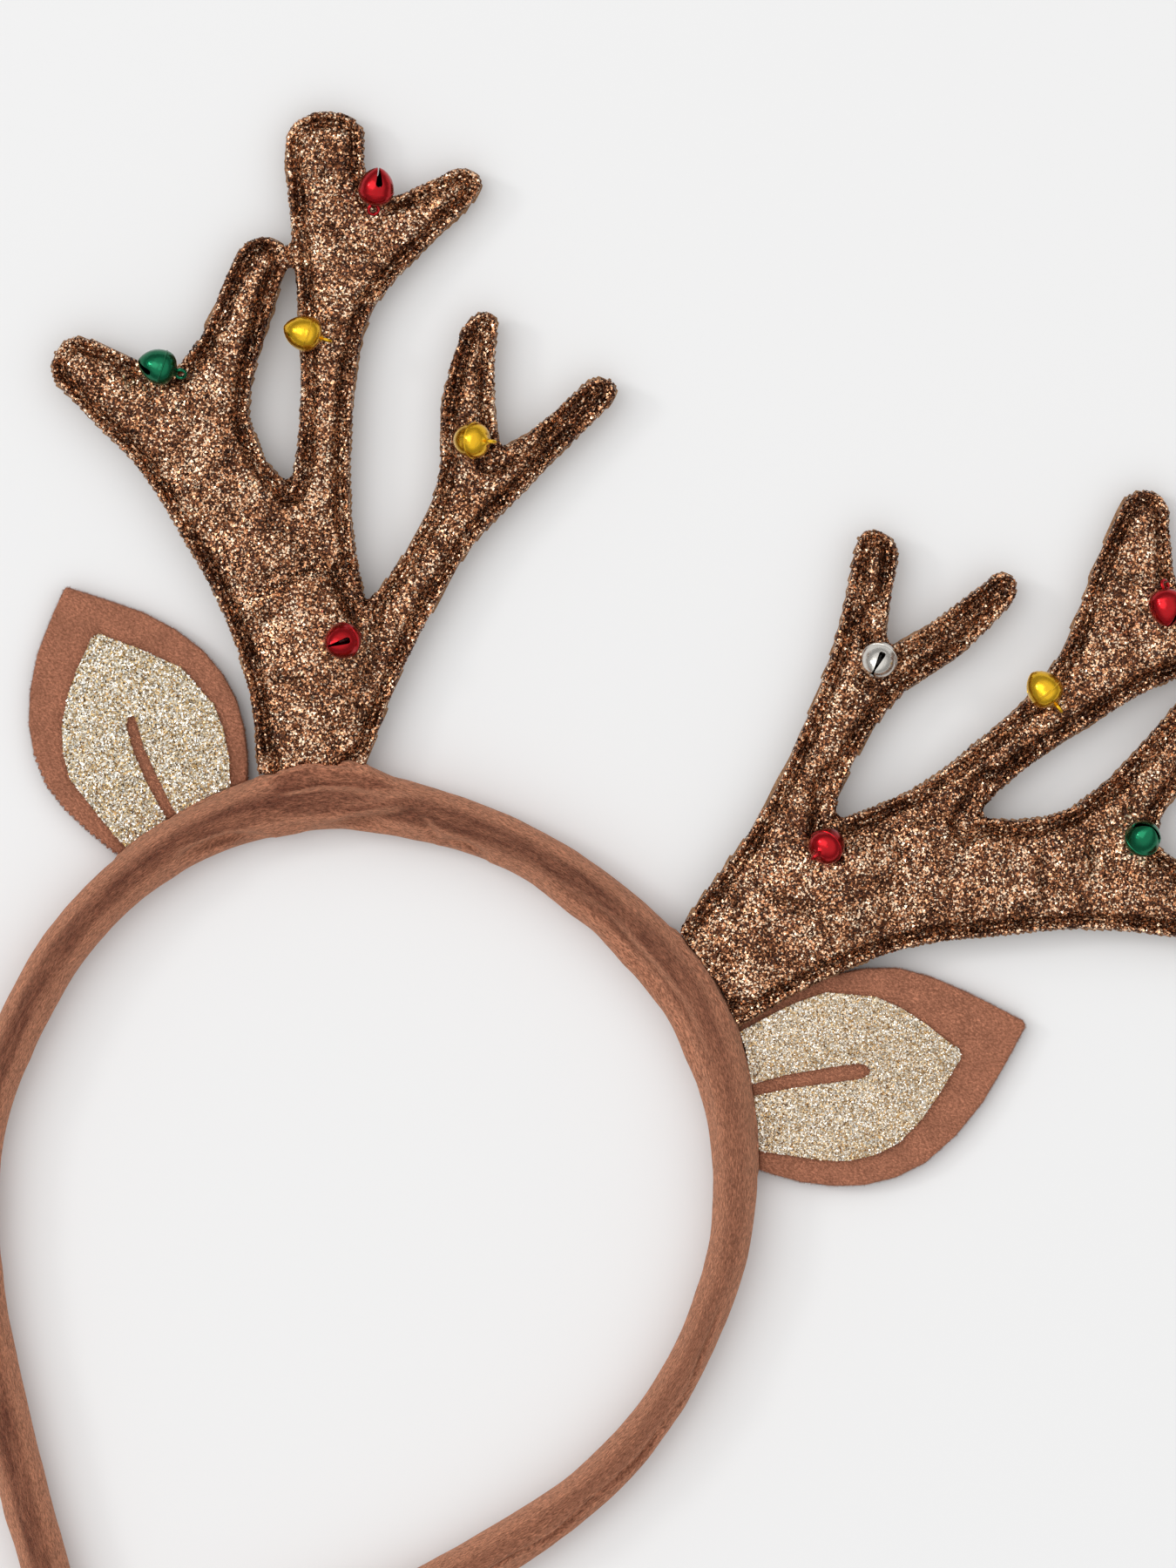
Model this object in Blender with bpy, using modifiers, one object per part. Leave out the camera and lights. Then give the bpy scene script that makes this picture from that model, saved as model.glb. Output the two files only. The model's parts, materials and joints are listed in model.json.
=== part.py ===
"""Reindeer antler headband: a velvet-wrapped band with padded glitter antlers, ears and jingle bells.

It lies on its back on a table. X runs across the headband, Y from the open ends of the band to the
tips of the antlers, and Z up from the table. All lengths are metres, the tables are millimetres.
"""
import math
from collections import namedtuple

import bmesh
import bpy
from mathutils import Quaternion, Vector

MM = 0.001
GAP = 0.3                     # clearance between pieces that touch on the real thing
WELD = 0.01                   # points closer than this are one
SHARP_ANGLE = 40.0            # edges that turn more than this stay crisp

# The band, a padded hoop wound in velvet
BAND_DEPTH = 11.5             # of the round section, before its foot is flattened
BAND_SIDES = 18               # points round a section
BAND_SQUARENESS = 2.3         # 2 is an ellipse, more is fuller at the shoulders
BAND_FLAT_ANGLE = 58.0        # how far round below the middle the flat foot starts, where the band rests
BAND_RING_SPACING = 8.0
BAND_END_LENGTH = 4.0
BAND_END_ROUNDING = [(0.0, 0.35), (0.9, 0.7), (2.4, 0.92)]   # distance from the end, share of the section

# The antlers, a felt backing under a padded glitter front with a stitched rim
BACKING_BOTTOM = 3.9
BACKING_THICKNESS = 0.8
PAD_BOTTOM = BACKING_BOTTOM + BACKING_THICKNESS + GAP
PAD_PROFILE = [(0.25, 0.0), (0.0, 0.5), (0.0, 1.6), (0.5, 2.3), (1.3, 2.0), (2.1, 3.6)]   # inset, height
PAD_THICKNESS = PAD_PROFILE[-1][1]
DROOP = 1.5                   # how far the tips of the antlers hang towards the table
DROOP_START = 20.0
DROOP_END = 110.0
OUTLINE_SPACING = 6.0
TIP_STEPS = 6

# The ears, felt with a glitter sheet laid on it
EAR_BOTTOM = 1.2
EAR_THICKNESS = 2.4
SHEET_BOTTOM = EAR_BOTTOM + EAR_THICKNESS + GAP
SHEET_THICKNESS = 0.7
SLIT_MARGIN = 1.0             # how far the slot's cutter passes each face of the sheet

# The bells, thin pressed shells with a bow-tie slot and a loop
BELL_RADIUS = 3.2
BELL_WALL = 0.4
BELL_SIDES = 10
BELL_PROFILE = [(0.0, 3.3), (1.6, 2.75), (2.85, 1.45), (3.2, 0.0), (2.85, -1.45), (1.6, -2.75), (0.0, -3.2)]
SLOT_OUTLINE = [(0.0, 0.22), (1.5, 0.5), (2.4, 0.75), (2.75, 0.0)]   # a quarter of the bow tie
SLOT_FLOOR = 0.8
BELL_ROUGHNESS = 0.15
LOOP_RADIUS = 1.1
LOOP_WIRE = 0.32
LOOP_SIDES = 8
LOOP_WIRE_SIDES = 5
LOOP_CENTRE = BELL_RADIUS + 0.8
LOOP_REACH = LOOP_CENTRE + LOOP_RADIUS + LOOP_WIRE

VELVET = ((0.30, 0.118, 0.068), 0.85, 0.0)
FELT = ((0.32, 0.130, 0.076), 0.9, 0.0)
GLITTER_BROWN = ((0.16, 0.062, 0.032), 0.4, 0.35)
BACKING_TAN = ((0.33, 0.17, 0.085), 0.85, 0.0)
GLITTER_CHAMPAGNE = ((0.62, 0.50, 0.33), 0.4, 0.35)
BELL_COLOURS = {
    "red": (0.45, 0.012, 0.016),
    "green": (0.005, 0.17, 0.075),
    "gold": (0.72, 0.47, 0.03),
    "silver": (0.70, 0.69, 0.66),
}

# One section of the band: the middle of the section and its width across, seen from above
Station = namedtuple("Station", "x y width")
BAND_STATIONS = [
    Station(-10.8, -149.2, 8.0),
    Station(-22.6, -137.1, 8.4),
    Station(-39.3, -117.7, 8.3),
    Station(-51.8, -101.6, 8.3),
    Station(-62.3, -80.4, 8.1),
    Station(-64.9, -58.0, 8.0),
    Station(-63.1, -39.6, 8.3),
    Station(-54.3, -19.5, 8.8),
    Station(-37.9, -2.8, 11.4),
    Station(-23.0, 2.9, 9.8),
    Station(0.0, 5.9, 8.8),
    Station(20.9, 2.5, 9.6),
    Station(37.3, -4.5, 10.4),
    Station(50.4, -17.9, 8.4),
    Station(59.4, -33.6, 7.3),
    Station(63.1, -50.0, 6.8),
    Station(63.3, -67.3, 6.8),
    Station(58.9, -85.2, 7.4),
    Station(49.6, -103.0, 8.5),
    Station(34.6, -124.0, 8.4),
    Station(22.0, -138.0, 8.3),
    Station(10.8, -149.2, 8.0),
]

# A fold of the velvet along the band: the stretch of stations it runs over, where it lies round the
# section (0 is the outer edge, 90 the crest, 180 the inner edge) and how far it sinks or, below zero, rises
Fold = namedtuple("Fold", "name first last angle depth")
BAND_FOLDS = [
    Fold("gather inside the crown, left", 6.8, 9.8, 140.0, 0.7),
    Fold("gather inside the crown, right", 10.4, 13.4, 140.0, 0.9),
    Fold("tuck over the left antler", 7.9, 9.1, 60.0, 1.0),
    Fold("seam on the right leg", 16.0, 19.0, 40.0, 0.8),
    Fold("lip beside that seam", 16.0, 19.0, 20.0, -0.4),
]

# A branch is a row of sections, each with the edge near the middle of the headband and the edge far
# from it, as distance out from the middle and height above the crown. It ends in a round tip or
# forks, with a sharp notch between the branches that it carries.
Section = namedtuple("Section", "near_out near_up far_out far_up")
Point = namedtuple("Point", "out up")
Branch = namedtuple("Branch", "sections tip forks", defaults=(None, ()))

LEFT_ANTLER = Branch(
    [Section(31.3, 0.5, 45.2, -8.0), Section(32.7, 12.0, 55.6, 8.5), Section(33.9, 24.0, 66.2, 18.9)],
    forks=[
        Branch(
            [Section(33.8, 38.0, 43.3, 38.0), Section(32.6, 50.0, 42.5, 50.0),
             Section(29.7, 59.0, 44.4, 58.8)],
            forks=[
                Branch([Section(26.4, 70.0, 33.1, 70.0), Section(22.6, 81.4, 28.8, 81.0)], Point(25.1, 84.5)),
                Point(36.3, 65.3),
                Branch([Section(40.6, 71.8, 48.6, 67.2), Section(45.6, 82.2, 51.4, 80.2)], Point(48.9, 85.4)),
            ],
        ),
        Point(44.6, 30.9),
        Branch(
            [Section(53.9, 43.7, 67.3, 49.3), Section(60.3, 56.5, 71.0, 58.0),
             Section(65.1, 68.4, 75.5, 66.6), Section(66.5, 77.5, 81.9, 77.2)],
            forks=[
                Branch([Section(63.4, 89.5, 71.3, 96.6), Section(59.4, 101.6, 66.4, 102.8)],
                       Point(61.6, 105.8)),
                Point(74.6, 93.8),
                Branch([Section(79.2, 98.2, 88.4, 87.5), Section(80.8, 101.4, 93.5, 96.8)],
                       Point(88.0, 104.1)),
            ],
        ),
        Point(65.4, 43.2),
        Branch(
            [Section(71.4, 45.4, 79.3, 27.9), Section(77.2, 50.7, 90.2, 34.2)],
            forks=[
                Branch([Section(80.4, 61.0, 90.8, 59.0), Section(82.9, 75.4, 91.8, 75.0)], Point(87.0, 80.0)),
                Point(92.0, 52.6),
                Branch([Section(98.0, 50.8, 99.5, 37.3), Section(107.3, 50.3, 107.4, 40.0)],
                       Point(112.0, 45.4)),
            ],
        ),
    ],
)
RIGHT_ANTLER = Branch(
    [Section(27.9, 1.0, 42.6, -8.8), Section(29.5, 13.0, 54.4, 9.0), Section(31.5, 25.0, 65.5, 21.2)],
    forks=[
        Branch(
            [Section(32.0, 38.0, 42.4, 40.5), Section(31.4, 50.0, 42.5, 50.0),
             Section(30.2, 60.0, 44.6, 59.8)],
            forks=[
                Branch([Section(28.0, 70.0, 36.1, 70.0), Section(25.4, 79.6, 33.3, 79.2)], Point(29.0, 82.5)),
                Point(38.3, 64.6),
                Branch([Section(42.6, 71.0, 49.7, 68.6), Section(48.2, 82.7, 54.1, 81.6)], Point(51.8, 86.0)),
            ],
        ),
        Point(43.6, 34.3),
        Branch(
            [Section(53.2, 45.2, 66.6, 51.5), Section(60.0, 59.0, 70.7, 60.8),
             Section(64.5, 70.7, 76.8, 71.2), Section(65.4, 79.5, 82.5, 80.0)],
            forks=[
                Branch([Section(63.7, 93.0, 76.6, 98.8), Section(63.0, 104.5, 72.1, 105.6)],
                       Point(67.0, 109.8)),
                Point(80.3, 94.5),
                Branch([Section(84.0, 98.5, 91.0, 89.5), Section(86.0, 102.0, 97.5, 96.0)],
                       Point(93.2, 104.2)),
            ],
        ),
        Point(65.1, 46.1),
        Branch(
            [Section(72.0, 49.0, 79.0, 30.3), Section(79.0, 54.8, 90.0, 37.2)],
            forks=[
                Branch([Section(82.6, 62.5, 93.6, 61.0), Section(87.0, 79.0, 96.2, 77.5)], Point(92.2, 83.6)),
                Point(94.8, 56.0),
                Branch([Section(100.5, 54.8, 101.5, 41.9), Section(109.0, 55.0, 109.5, 44.8)],
                       Point(113.8, 50.0)),
            ],
        ),
    ],
)
LEFT_EAR = Branch(
    [Section(46.5, -10.5, 60.0, -27.2), Section(51.0, -1.4, 70.0, -25.2), Section(57.0, 6.3, 79.5, -21.6),
     Section(66.0, 11.3, 87.0, -13.6), Section(78.0, 12.5, 91.2, -2.0), Section(91.2, 10.5, 92.1, 9.4)],
    Point(91.9, 10.3),
)
RIGHT_EAR = Branch(
    [Section(42.8, -8.5, 57.0, -25.2), Section(48.2, 1.2, 67.0, -23.4), Section(55.5, 10.6, 77.0, -18.9),
     Section(65.0, 16.9, 84.5, -10.8), Section(77.0, 18.6, 88.6, 3.0), Section(87.8, 18.6, 89.2, 17.3)],
    Point(88.9, 18.3),
)
LEFT_SHEET = Branch(
    [Section(49.5, -10.5, 60.5, -25.6), Section(53.6, -3.2, 68.5, -22.4), Section(60.0, 3.8, 76.5, -18.6),
     Section(68.0, 7.0, 81.8, -11.0), Section(76.0, 6.6, 83.8, -1.5), Section(82.0, 5.9, 84.0, 3.6)],
    Point(83.5, 5.4),
)
RIGHT_SHEET = Branch(
    [Section(44.0, -8.0, 56.0, -22.6), Section(48.7, -1.0, 63.0, -20.2), Section(56.0, 7.6, 72.5, -16.5),
     Section(64.0, 10.8, 78.8, -9.8), Section(73.5, 10.6, 81.2, 0.8), Section(79.8, 9.3, 81.6, 6.9)],
    Point(81.3, 8.8),
)
LEFT_SLOT = Branch(
    [Section(52.6, -19.0, 53.7, -20.6), Section(59.8, -14.1, 60.9, -15.7), Section(63.8, -11.0, 65.2, -12.7),
     Section(67.6, -8.0, 69.2, -9.3), Section(70.4, -5.0, 72.0, -6.0)],
    Point(71.9, -4.2),
)
RIGHT_SLOT = Branch(
    [Section(46.0, -17.0, 47.6, -18.8), Section(52.0, -12.0, 53.3, -13.7), Section(56.2, -8.2, 57.6, -10.2),
     Section(61.1, -4.5, 62.5, -6.8), Section(65.9, -1.0, 67.3, -3.5)],
    Point(68.9, -0.9),
)
Side = namedtuple("Side", "side word antler ear sheet slot")
SIDES = [
    Side(-1, "left", LEFT_ANTLER, LEFT_EAR, LEFT_SHEET, LEFT_SLOT),
    Side(1, "right", RIGHT_ANTLER, RIGHT_EAR, RIGHT_SHEET, RIGHT_SLOT),
]

# A bell: the middle of the shell, the way its loop points (degrees from +X) and, in degrees, how far
# its slotted side is raised and how far the slot is turned about the bell's axis
Bell = namedtuple("Bell", "name colour x y heading pitch roll")
BELLS = [
    Bell("bell_left_top", "red", -75.4, 95.7, -67.0, 30.0, 20.0),
    Bell("bell_left_outer", "green", -94.9, 51.1, 9.0, 5.0, 0.0),
    Bell("bell_left_stem", "gold", -75.4, 67.5, 6.0, 10.0, 0.0),
    Bell("bell_left_inner", "gold", -41.4, 64.1, 18.0, -5.0, 0.0),
    Bell("bell_left_base", "red", -45.4, 23.4, 50.0, 50.0, 60.0),
    Bell("bell_right_top", "red", 77.9, 92.5, 120.0, 20.0, 40.0),
    Bell("bell_right_outer", "green", 92.1, 56.1, -98.0, 35.0, 30.0),
    Bell("bell_right_stem", "gold", 65.1, 70.9, -17.0, 0.0, 0.0),
    Bell("bell_right_inner", "silver", 38.0, 62.0, 90.0, 55.0, 90.0),
    Bell("bell_right_base", "red", 44.9, 30.7, -113.0, -5.0, 0.0),
]


def clear_scene():
    """Start from an empty scene."""
    for obj in list(bpy.data.objects):
        bpy.data.objects.remove(obj, do_unlink=True)


def new_collection(name):
    """A collection in the scene."""
    collection = bpy.data.collections.new(name)
    bpy.context.scene.collection.children.link(collection)
    return collection


def new_material(name, finish):
    """A plain surface with its colour, roughness and metallic value."""
    colour, roughness, metallic = finish
    material = bpy.data.materials.new(name)
    material.use_nodes = True
    shader = material.node_tree.nodes["Principled BSDF"]
    shader.inputs["Base Color"].default_value = (*colour, 1.0)
    shader.inputs["Roughness"].default_value = roughness
    shader.inputs["Metallic"].default_value = metallic
    material.diffuse_color = (*colour, 1.0)
    return material


def add_object(name, mesh, collection, material=None):
    """Put a mesh in the scene as a named object."""
    obj = bpy.data.objects.new(name, mesh)
    collection.objects.link(obj)
    if material:
        mesh.materials.append(material)
    return obj


def add_cutter(name, mesh, collection):
    """A cutting shape, drawn as wires and left out of the model."""
    obj = add_object(name, mesh, collection)
    obj.display_type = "WIRE"
    obj.hide_render = True
    return obj


def cut(obj, cutter, operation="DIFFERENCE"):
    """Cut an object by a cutter, or join the cutter to it."""
    modifier = obj.modifiers.new(cutter.name, "BOOLEAN")
    modifier.operation = operation
    modifier.solver = "EXACT"
    modifier.object = cutter


def evaluated_mesh(obj):
    """A new mesh with the object's modifiers applied."""
    depsgraph = bpy.context.evaluated_depsgraph_get()
    return bpy.data.meshes.new_from_object(obj.evaluated_get(depsgraph))


def spline(before, start, end, after, t):
    """A point on the centripetal Catmull-Rom curve from start to end, at t from 0 to 1."""
    knots = [0.0]
    for a, b in ((before, start), (start, end), (end, after)):
        knots.append(knots[-1] + math.dist(a[:2], b[:2]) ** 0.5)
    place = knots[1] + (knots[2] - knots[1]) * t

    def between(a, b, low, high):
        share = (place - low) / (high - low)
        return tuple(p + (q - p) * share for p, q in zip(a, b))

    first = between(before, start, knots[0], knots[1])
    second = between(start, end, knots[1], knots[2])
    third = between(end, after, knots[2], knots[3])
    return between(between(first, second, knots[0], knots[2]), between(second, third, knots[1], knots[3]),
                   knots[1], knots[2])


def beyond(point, neighbour):
    """The point as far past an end of a path as its neighbour is before it."""
    return tuple(2 * p - n for p, n in zip(point, neighbour))


def smooth_path(points, spacing):
    """Points along a smooth curve through the given ones, with their place counted in given points."""
    path = []
    last = len(points) - 1
    for i in range(last):
        before = points[i - 1] if i > 0 else beyond(points[0], points[1])
        after = points[i + 2] if i + 2 <= last else beyond(points[last], points[last - 1])
        steps = max(1, round(math.dist(points[i][:2], points[i + 1][:2]) / spacing))
        for step in range(steps):
            t = step / steps
            path.append((spline(before, points[i], points[i + 1], after, t), i + t))
    path.append((tuple(points[last]), float(last)))
    return path


def round_tip(section, tip):
    """The half ellipse from a section's near edge round the tip to its far edge."""
    near = Vector((section.near_out, section.near_up))
    far = Vector((section.far_out, section.far_up))
    middle = (near + far) / 2
    rise = Vector(tip) - middle
    for step in range(1, TIP_STEPS):
        angle = math.pi * step / TIP_STEPS
        yield tuple(middle + (near - middle) * math.cos(angle) + rise * math.sin(angle))


def branch_stretches(branch, stretches):
    """Walk round a branch, adding to the last stretch and starting a new one at each notch."""
    stretches[-1].extend((s.near_out, s.near_up) for s in branch.sections)
    if branch.tip:
        stretches[-1].extend(round_tip(branch.sections[-1], branch.tip))
    for item in branch.forks:
        if isinstance(item, Point):
            stretches[-1].append(tuple(item))
            stretches.append([tuple(item)])
        else:
            branch_stretches(item, stretches)
    stretches[-1].extend((s.far_out, s.far_up) for s in reversed(branch.sections))
    return stretches


def outline(branch, side, spacing=OUTLINE_SPACING):
    """The closed outline of a branch, smooth between its notches, on the left (-1) or right (1)."""
    points = []
    for stretch in branch_stretches(branch, [[]]):
        points.extend(place for place, _ in smooth_path(stretch, spacing)[:-1])
    points.append(stretch[-1])
    points = [Vector((side * out, up)) for out, up in points]
    return points if side < 0 else points[::-1]


def inset_outline(points, inset):
    """The outline moved inwards, each point square to the line through its neighbours."""
    moved = []
    for i, point in enumerate(points):
        along = (points[(i + 1) % len(points)] - points[i - 1]).normalized()
        moved.append(point + Vector((-along.y, along.x)) * inset)
    return moved


def droop(y):
    """How far an antler hangs down at a height above the crown."""
    return DROOP * max(0.0, (y - DROOP_START) / (DROOP_END - DROOP_START)) ** 2


def loft_rings(name, rings):
    """A closed solid through rings of points, each capped ring flat or nearly so."""
    bm = bmesh.new()
    rows = [[bm.verts.new(Vector(point) * MM) for point in ring] for ring in rings]
    count = len(rings[0])
    for lower, upper in zip(rows, rows[1:]):
        for i in range(count):
            j = (i + 1) % count
            bm.faces.new((lower[i], lower[j], upper[j], upper[i]))
    caps = [bm.faces.new(rows[0][::-1]), bm.faces.new(rows[-1])]
    bm.normal_update()
    bmesh.ops.triangulate(bm, faces=caps)
    bmesh.ops.recalc_face_normals(bm, faces=bm.faces)
    mesh = bpy.data.meshes.new(name)
    bm.to_mesh(mesh)
    bm.free()
    shade_round(mesh)
    return mesh


def shade_round(mesh):
    """Shade a mesh smooth, except over its crisp edges."""
    mesh.shade_smooth()
    mesh.set_sharp_from_angle(angle=math.radians(SHARP_ANGLE))


def pad_mesh(name, branch, side):
    """The padded front of an antler: a rim, the stitched groove behind it and the stuffed middle."""
    points = outline(branch, side)
    rings = []
    for inset, height in PAD_PROFILE:
        ring = inset_outline(points, inset)
        rings.append([(p.x, p.y, PAD_BOTTOM + height - droop(p.y)) for p in ring])
    return loft_rings(name, rings)


def add_edge(curve, points):
    """A closed edge of a flat curve through points in millimetres."""
    edge = curve.splines.new("POLY")
    edge.points.add(len(points) - 1)
    for target, (x, y) in zip(edge.points, points):
        target.co = (x * MM, y * MM, 0.0, 1.0)
    edge.use_cyclic_u = True


def sheet_mesh(name, branch, side, bottom, thickness):
    """A flat sheet of the branch's outline: a filled two-dimensional curve with a thickness."""
    curve = bpy.data.curves.new(name, "CURVE")
    curve.dimensions = "2D"
    curve.fill_mode = "BOTH"
    curve.extrude = thickness / 2 * MM
    add_edge(curve, outline(branch, side))
    return curve_to_mesh(name, curve, (bottom + thickness / 2) * MM)


def curve_to_mesh(name, curve, height):
    """The mesh of a filled curve, its loose caps welded, lifted to a height."""
    holder = bpy.data.objects.new(name, curve)
    bpy.context.scene.collection.objects.link(holder)
    mesh = evaluated_mesh(holder)
    bpy.data.objects.remove(holder, do_unlink=True)
    bm = bmesh.new()
    bm.from_mesh(mesh)
    bmesh.ops.remove_doubles(bm, verts=bm.verts, dist=WELD * MM)
    bmesh.ops.translate(bm, verts=bm.verts, vec=(0.0, 0.0, height))
    bmesh.ops.recalc_face_normals(bm, faces=bm.faces)
    bm.to_mesh(mesh)
    bm.free()
    return mesh


def backing_mesh(name, branch, side):
    """The felt behind an antler, hanging down with it."""
    mesh = sheet_mesh(name, branch, side, BACKING_BOTTOM, BACKING_THICKNESS)
    for vertex in mesh.vertices:
        vertex.co.z -= droop(vertex.co.y / MM) * MM
    return mesh


def fold_depth(place, angle):
    """How far the folds sink the band at a place along it and an angle round its section."""
    depth = 0.0
    for fold in BAND_FOLDS:
        beside = abs(angle - fold.angle) < 180.0 / BAND_SIDES
        if beside and fold.first < place < fold.last:
            depth += fold.depth * math.sin(math.pi * (place - fold.first) / (fold.last - fold.first)) ** 0.5
    return depth


def band_ring(centre, across, place, width, share, grow):
    """One ring of the band: a rounded section, flat where it rests on the table."""
    half_width = width / 2 * share + grow
    half_depth = BAND_DEPTH / 2 * (0.5 + share / 2) + grow
    power = 2.0 / BAND_SQUARENESS
    floor = -(math.sin(math.radians(BAND_FLAT_ANGLE)) ** power) * half_depth
    middle_height = -floor - grow
    ring = []
    for k in range(BAND_SIDES):
        angle = 360.0 * k / BAND_SIDES
        c, s = math.cos(math.radians(angle)), math.sin(math.radians(angle))
        sink = fold_depth(place, angle)
        out = math.copysign(abs(c) ** power, c) * (half_width - sink)
        up = math.copysign(abs(s) ** power, s) * (half_depth - sink)
        point = centre + across * out
        ring.append((point.x, point.y, middle_height + max(up, floor)))
    return ring


def band_mesh(name, grow=0.0):
    """The hoop, swept through its stations with rounded ends; it can be made with a clearance."""
    path = smooth_path(BAND_STATIONS, BAND_RING_SPACING)
    frames = []
    for i, ((x, y, width), place) in enumerate(path):
        before = path[max(i - 1, 0)][0]
        after = path[min(i + 1, len(path) - 1)][0]
        along = Vector((after[0] - before[0], after[1] - before[1])).normalized()
        frames.append((Vector((x, y)), Vector((-along.y, along.x)), along, place, width))
    rings = end_rings(frames[0], -1, grow)
    for centre, across, _, place, width in frames:
        rings.append(band_ring(centre, across, place, width, 1.0, grow))
    rings += end_rings(frames[-1], 1, grow)[::-1]
    return loft_rings(name, rings)


def end_rings(frame, direction, grow):
    """The shrinking rings of a rounded end, from its tip inwards."""
    centre, across, along, place, width = frame
    rings = []
    for distance, share in BAND_END_ROUNDING:
        shifted = centre + along * direction * (BAND_END_LENGTH - distance + grow)
        rings.append(band_ring(shifted, across, place, width, share, grow))
    return rings


def turned_shell(collection):
    """The bell's thin shell, turned from its profile round the Z axis, slotted side up."""
    mesh = bpy.data.meshes.new("bell_shell")
    points = [(radius * MM, 0.0, height * MM) for radius, height in BELL_PROFILE]
    mesh.from_pydata(points, [(i, i + 1) for i in range(len(points) - 1)], [])
    shell = add_object("bell_shell", mesh, collection)
    turn = shell.modifiers.new("turn", "SCREW")
    turn.steps = BELL_SIDES
    turn.render_steps = BELL_SIDES
    turn.use_merge_vertices = True
    turn.merge_threshold = WELD * MM
    wall = shell.modifiers.new("wall", "SOLIDIFY")
    wall.thickness = BELL_WALL * MM
    wall.offset = -1.0
    return shell


def slot_cutter(collection):
    """The bow tie that is cut through the shell on its slotted side."""
    quarter = SLOT_OUTLINE
    half = quarter + [(x, -y) for x, y in quarter[-2::-1]]
    points = half + [(-x, y) for x, y in half[-2:0:-1]]
    curve = bpy.data.curves.new("bell_slot", "CURVE")
    curve.dimensions = "2D"
    curve.fill_mode = "BOTH"
    curve.extrude = (BELL_RADIUS - SLOT_FLOOR) * MM
    add_edge(curve, points)
    mesh = curve_to_mesh("bell_slot", curve, BELL_RADIUS * MM)
    return add_cutter("bell_slot", mesh, collection)


def loop_cutter(collection):
    """The wire loop opposite the slot, joined to the shell."""
    bpy.ops.mesh.primitive_torus_add(
        major_radius=LOOP_RADIUS * MM, minor_radius=LOOP_WIRE * MM,
        major_segments=LOOP_SIDES, minor_segments=LOOP_WIRE_SIDES,
        location=(0.0, 0.0, -LOOP_CENTRE * MM), rotation=(0.0, math.pi / 2, 0.0))
    loop = bpy.context.object
    loop.name = "bell_loop"
    for other in list(loop.users_collection):
        other.objects.unlink(loop)
    collection.objects.link(loop)
    loop.display_type = "WIRE"
    loop.hide_render = True
    return loop


def bell_pattern(collection):
    """The mesh of one bell."""
    shell = turned_shell(collection)
    cut(shell, slot_cutter(collection))
    cut(shell, loop_cutter(collection), "UNION")
    mesh = evaluated_mesh(shell)
    for helper in list(collection.objects):
        bpy.data.objects.remove(helper, do_unlink=True)
    bpy.data.collections.remove(collection)
    shade_round(mesh)
    return mesh


def place_bell(bell, pattern, collection, origin):
    """Lay a bell on its antler, its loop pointing the way the table says."""
    heading, pitch = math.radians(bell.heading), math.radians(bell.pitch)
    level = math.cos(pitch)
    slot_side = Vector((-math.cos(heading) * level, -math.sin(heading) * level, math.sin(pitch)))
    depth = max(BELL_RADIUS, LOOP_REACH * math.sin(pitch))
    height = PAD_BOTTOM + PAD_THICKNESS - droop(bell.y) + GAP + depth
    material = new_material(bell.name, (BELL_COLOURS[bell.colour], BELL_ROUGHNESS, 1.0))
    obj = add_object(bell.name, pattern.copy(), collection, material)
    obj.parent = origin
    obj.location = (bell.x * MM, bell.y * MM, height * MM)
    obj.rotation_mode = "QUATERNION"
    roll = Quaternion((0.0, 0.0, 1.0), math.radians(bell.roll))
    obj.rotation_quaternion = slot_side.to_track_quat("Z", "Y") @ roll


def middle_of(objects):
    """The middle of the objects' common box, at its foot."""
    bpy.context.view_layer.update()
    corners = [vertex.co for obj in objects for vertex in obj.data.vertices]
    low = [min(corner[axis] for corner in corners) for axis in range(3)]
    high = [max(corner[axis] for corner in corners) for axis in range(3)]
    return Vector(((low[0] + high[0]) / 2, (low[1] + high[1]) / 2, low[2]))


def make_antler(side, parts):
    """The padded front and the felt backing of one antler."""
    front, back = f"antler_{side.word}", f"antler_backing_{side.word}"
    return [
        add_object(front, pad_mesh(front, side.antler, side.side), parts, new_material(front, GLITTER_BROWN)),
        add_object(back, backing_mesh(back, side.antler, side.side), parts, new_material(back, BACKING_TAN)),
    ]


def make_ear(side, parts, cutters):
    """The felt of one ear and the slotted glitter sheet on it."""
    outer, inner = f"ear_{side.word}", f"ear_inner_{side.word}"
    felt = sheet_mesh(outer, side.ear, side.side, EAR_BOTTOM, EAR_THICKNESS)
    lining = sheet_mesh(inner, side.sheet, side.side, SHEET_BOTTOM, SHEET_THICKNESS)
    slit = sheet_mesh(f"ear_slot_{side.word}", side.slot, side.side, SHEET_BOTTOM - SLIT_MARGIN,
                      SHEET_THICKNESS + 2 * SLIT_MARGIN)
    pieces = [
        add_object(outer, felt, parts, new_material(outer, FELT)),
        add_object(inner, lining, parts, new_material(inner, GLITTER_CHAMPAGNE)),
    ]
    cut(pieces[1], add_cutter(f"ear_slot_{side.word}", slit, cutters))
    return pieces


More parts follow.
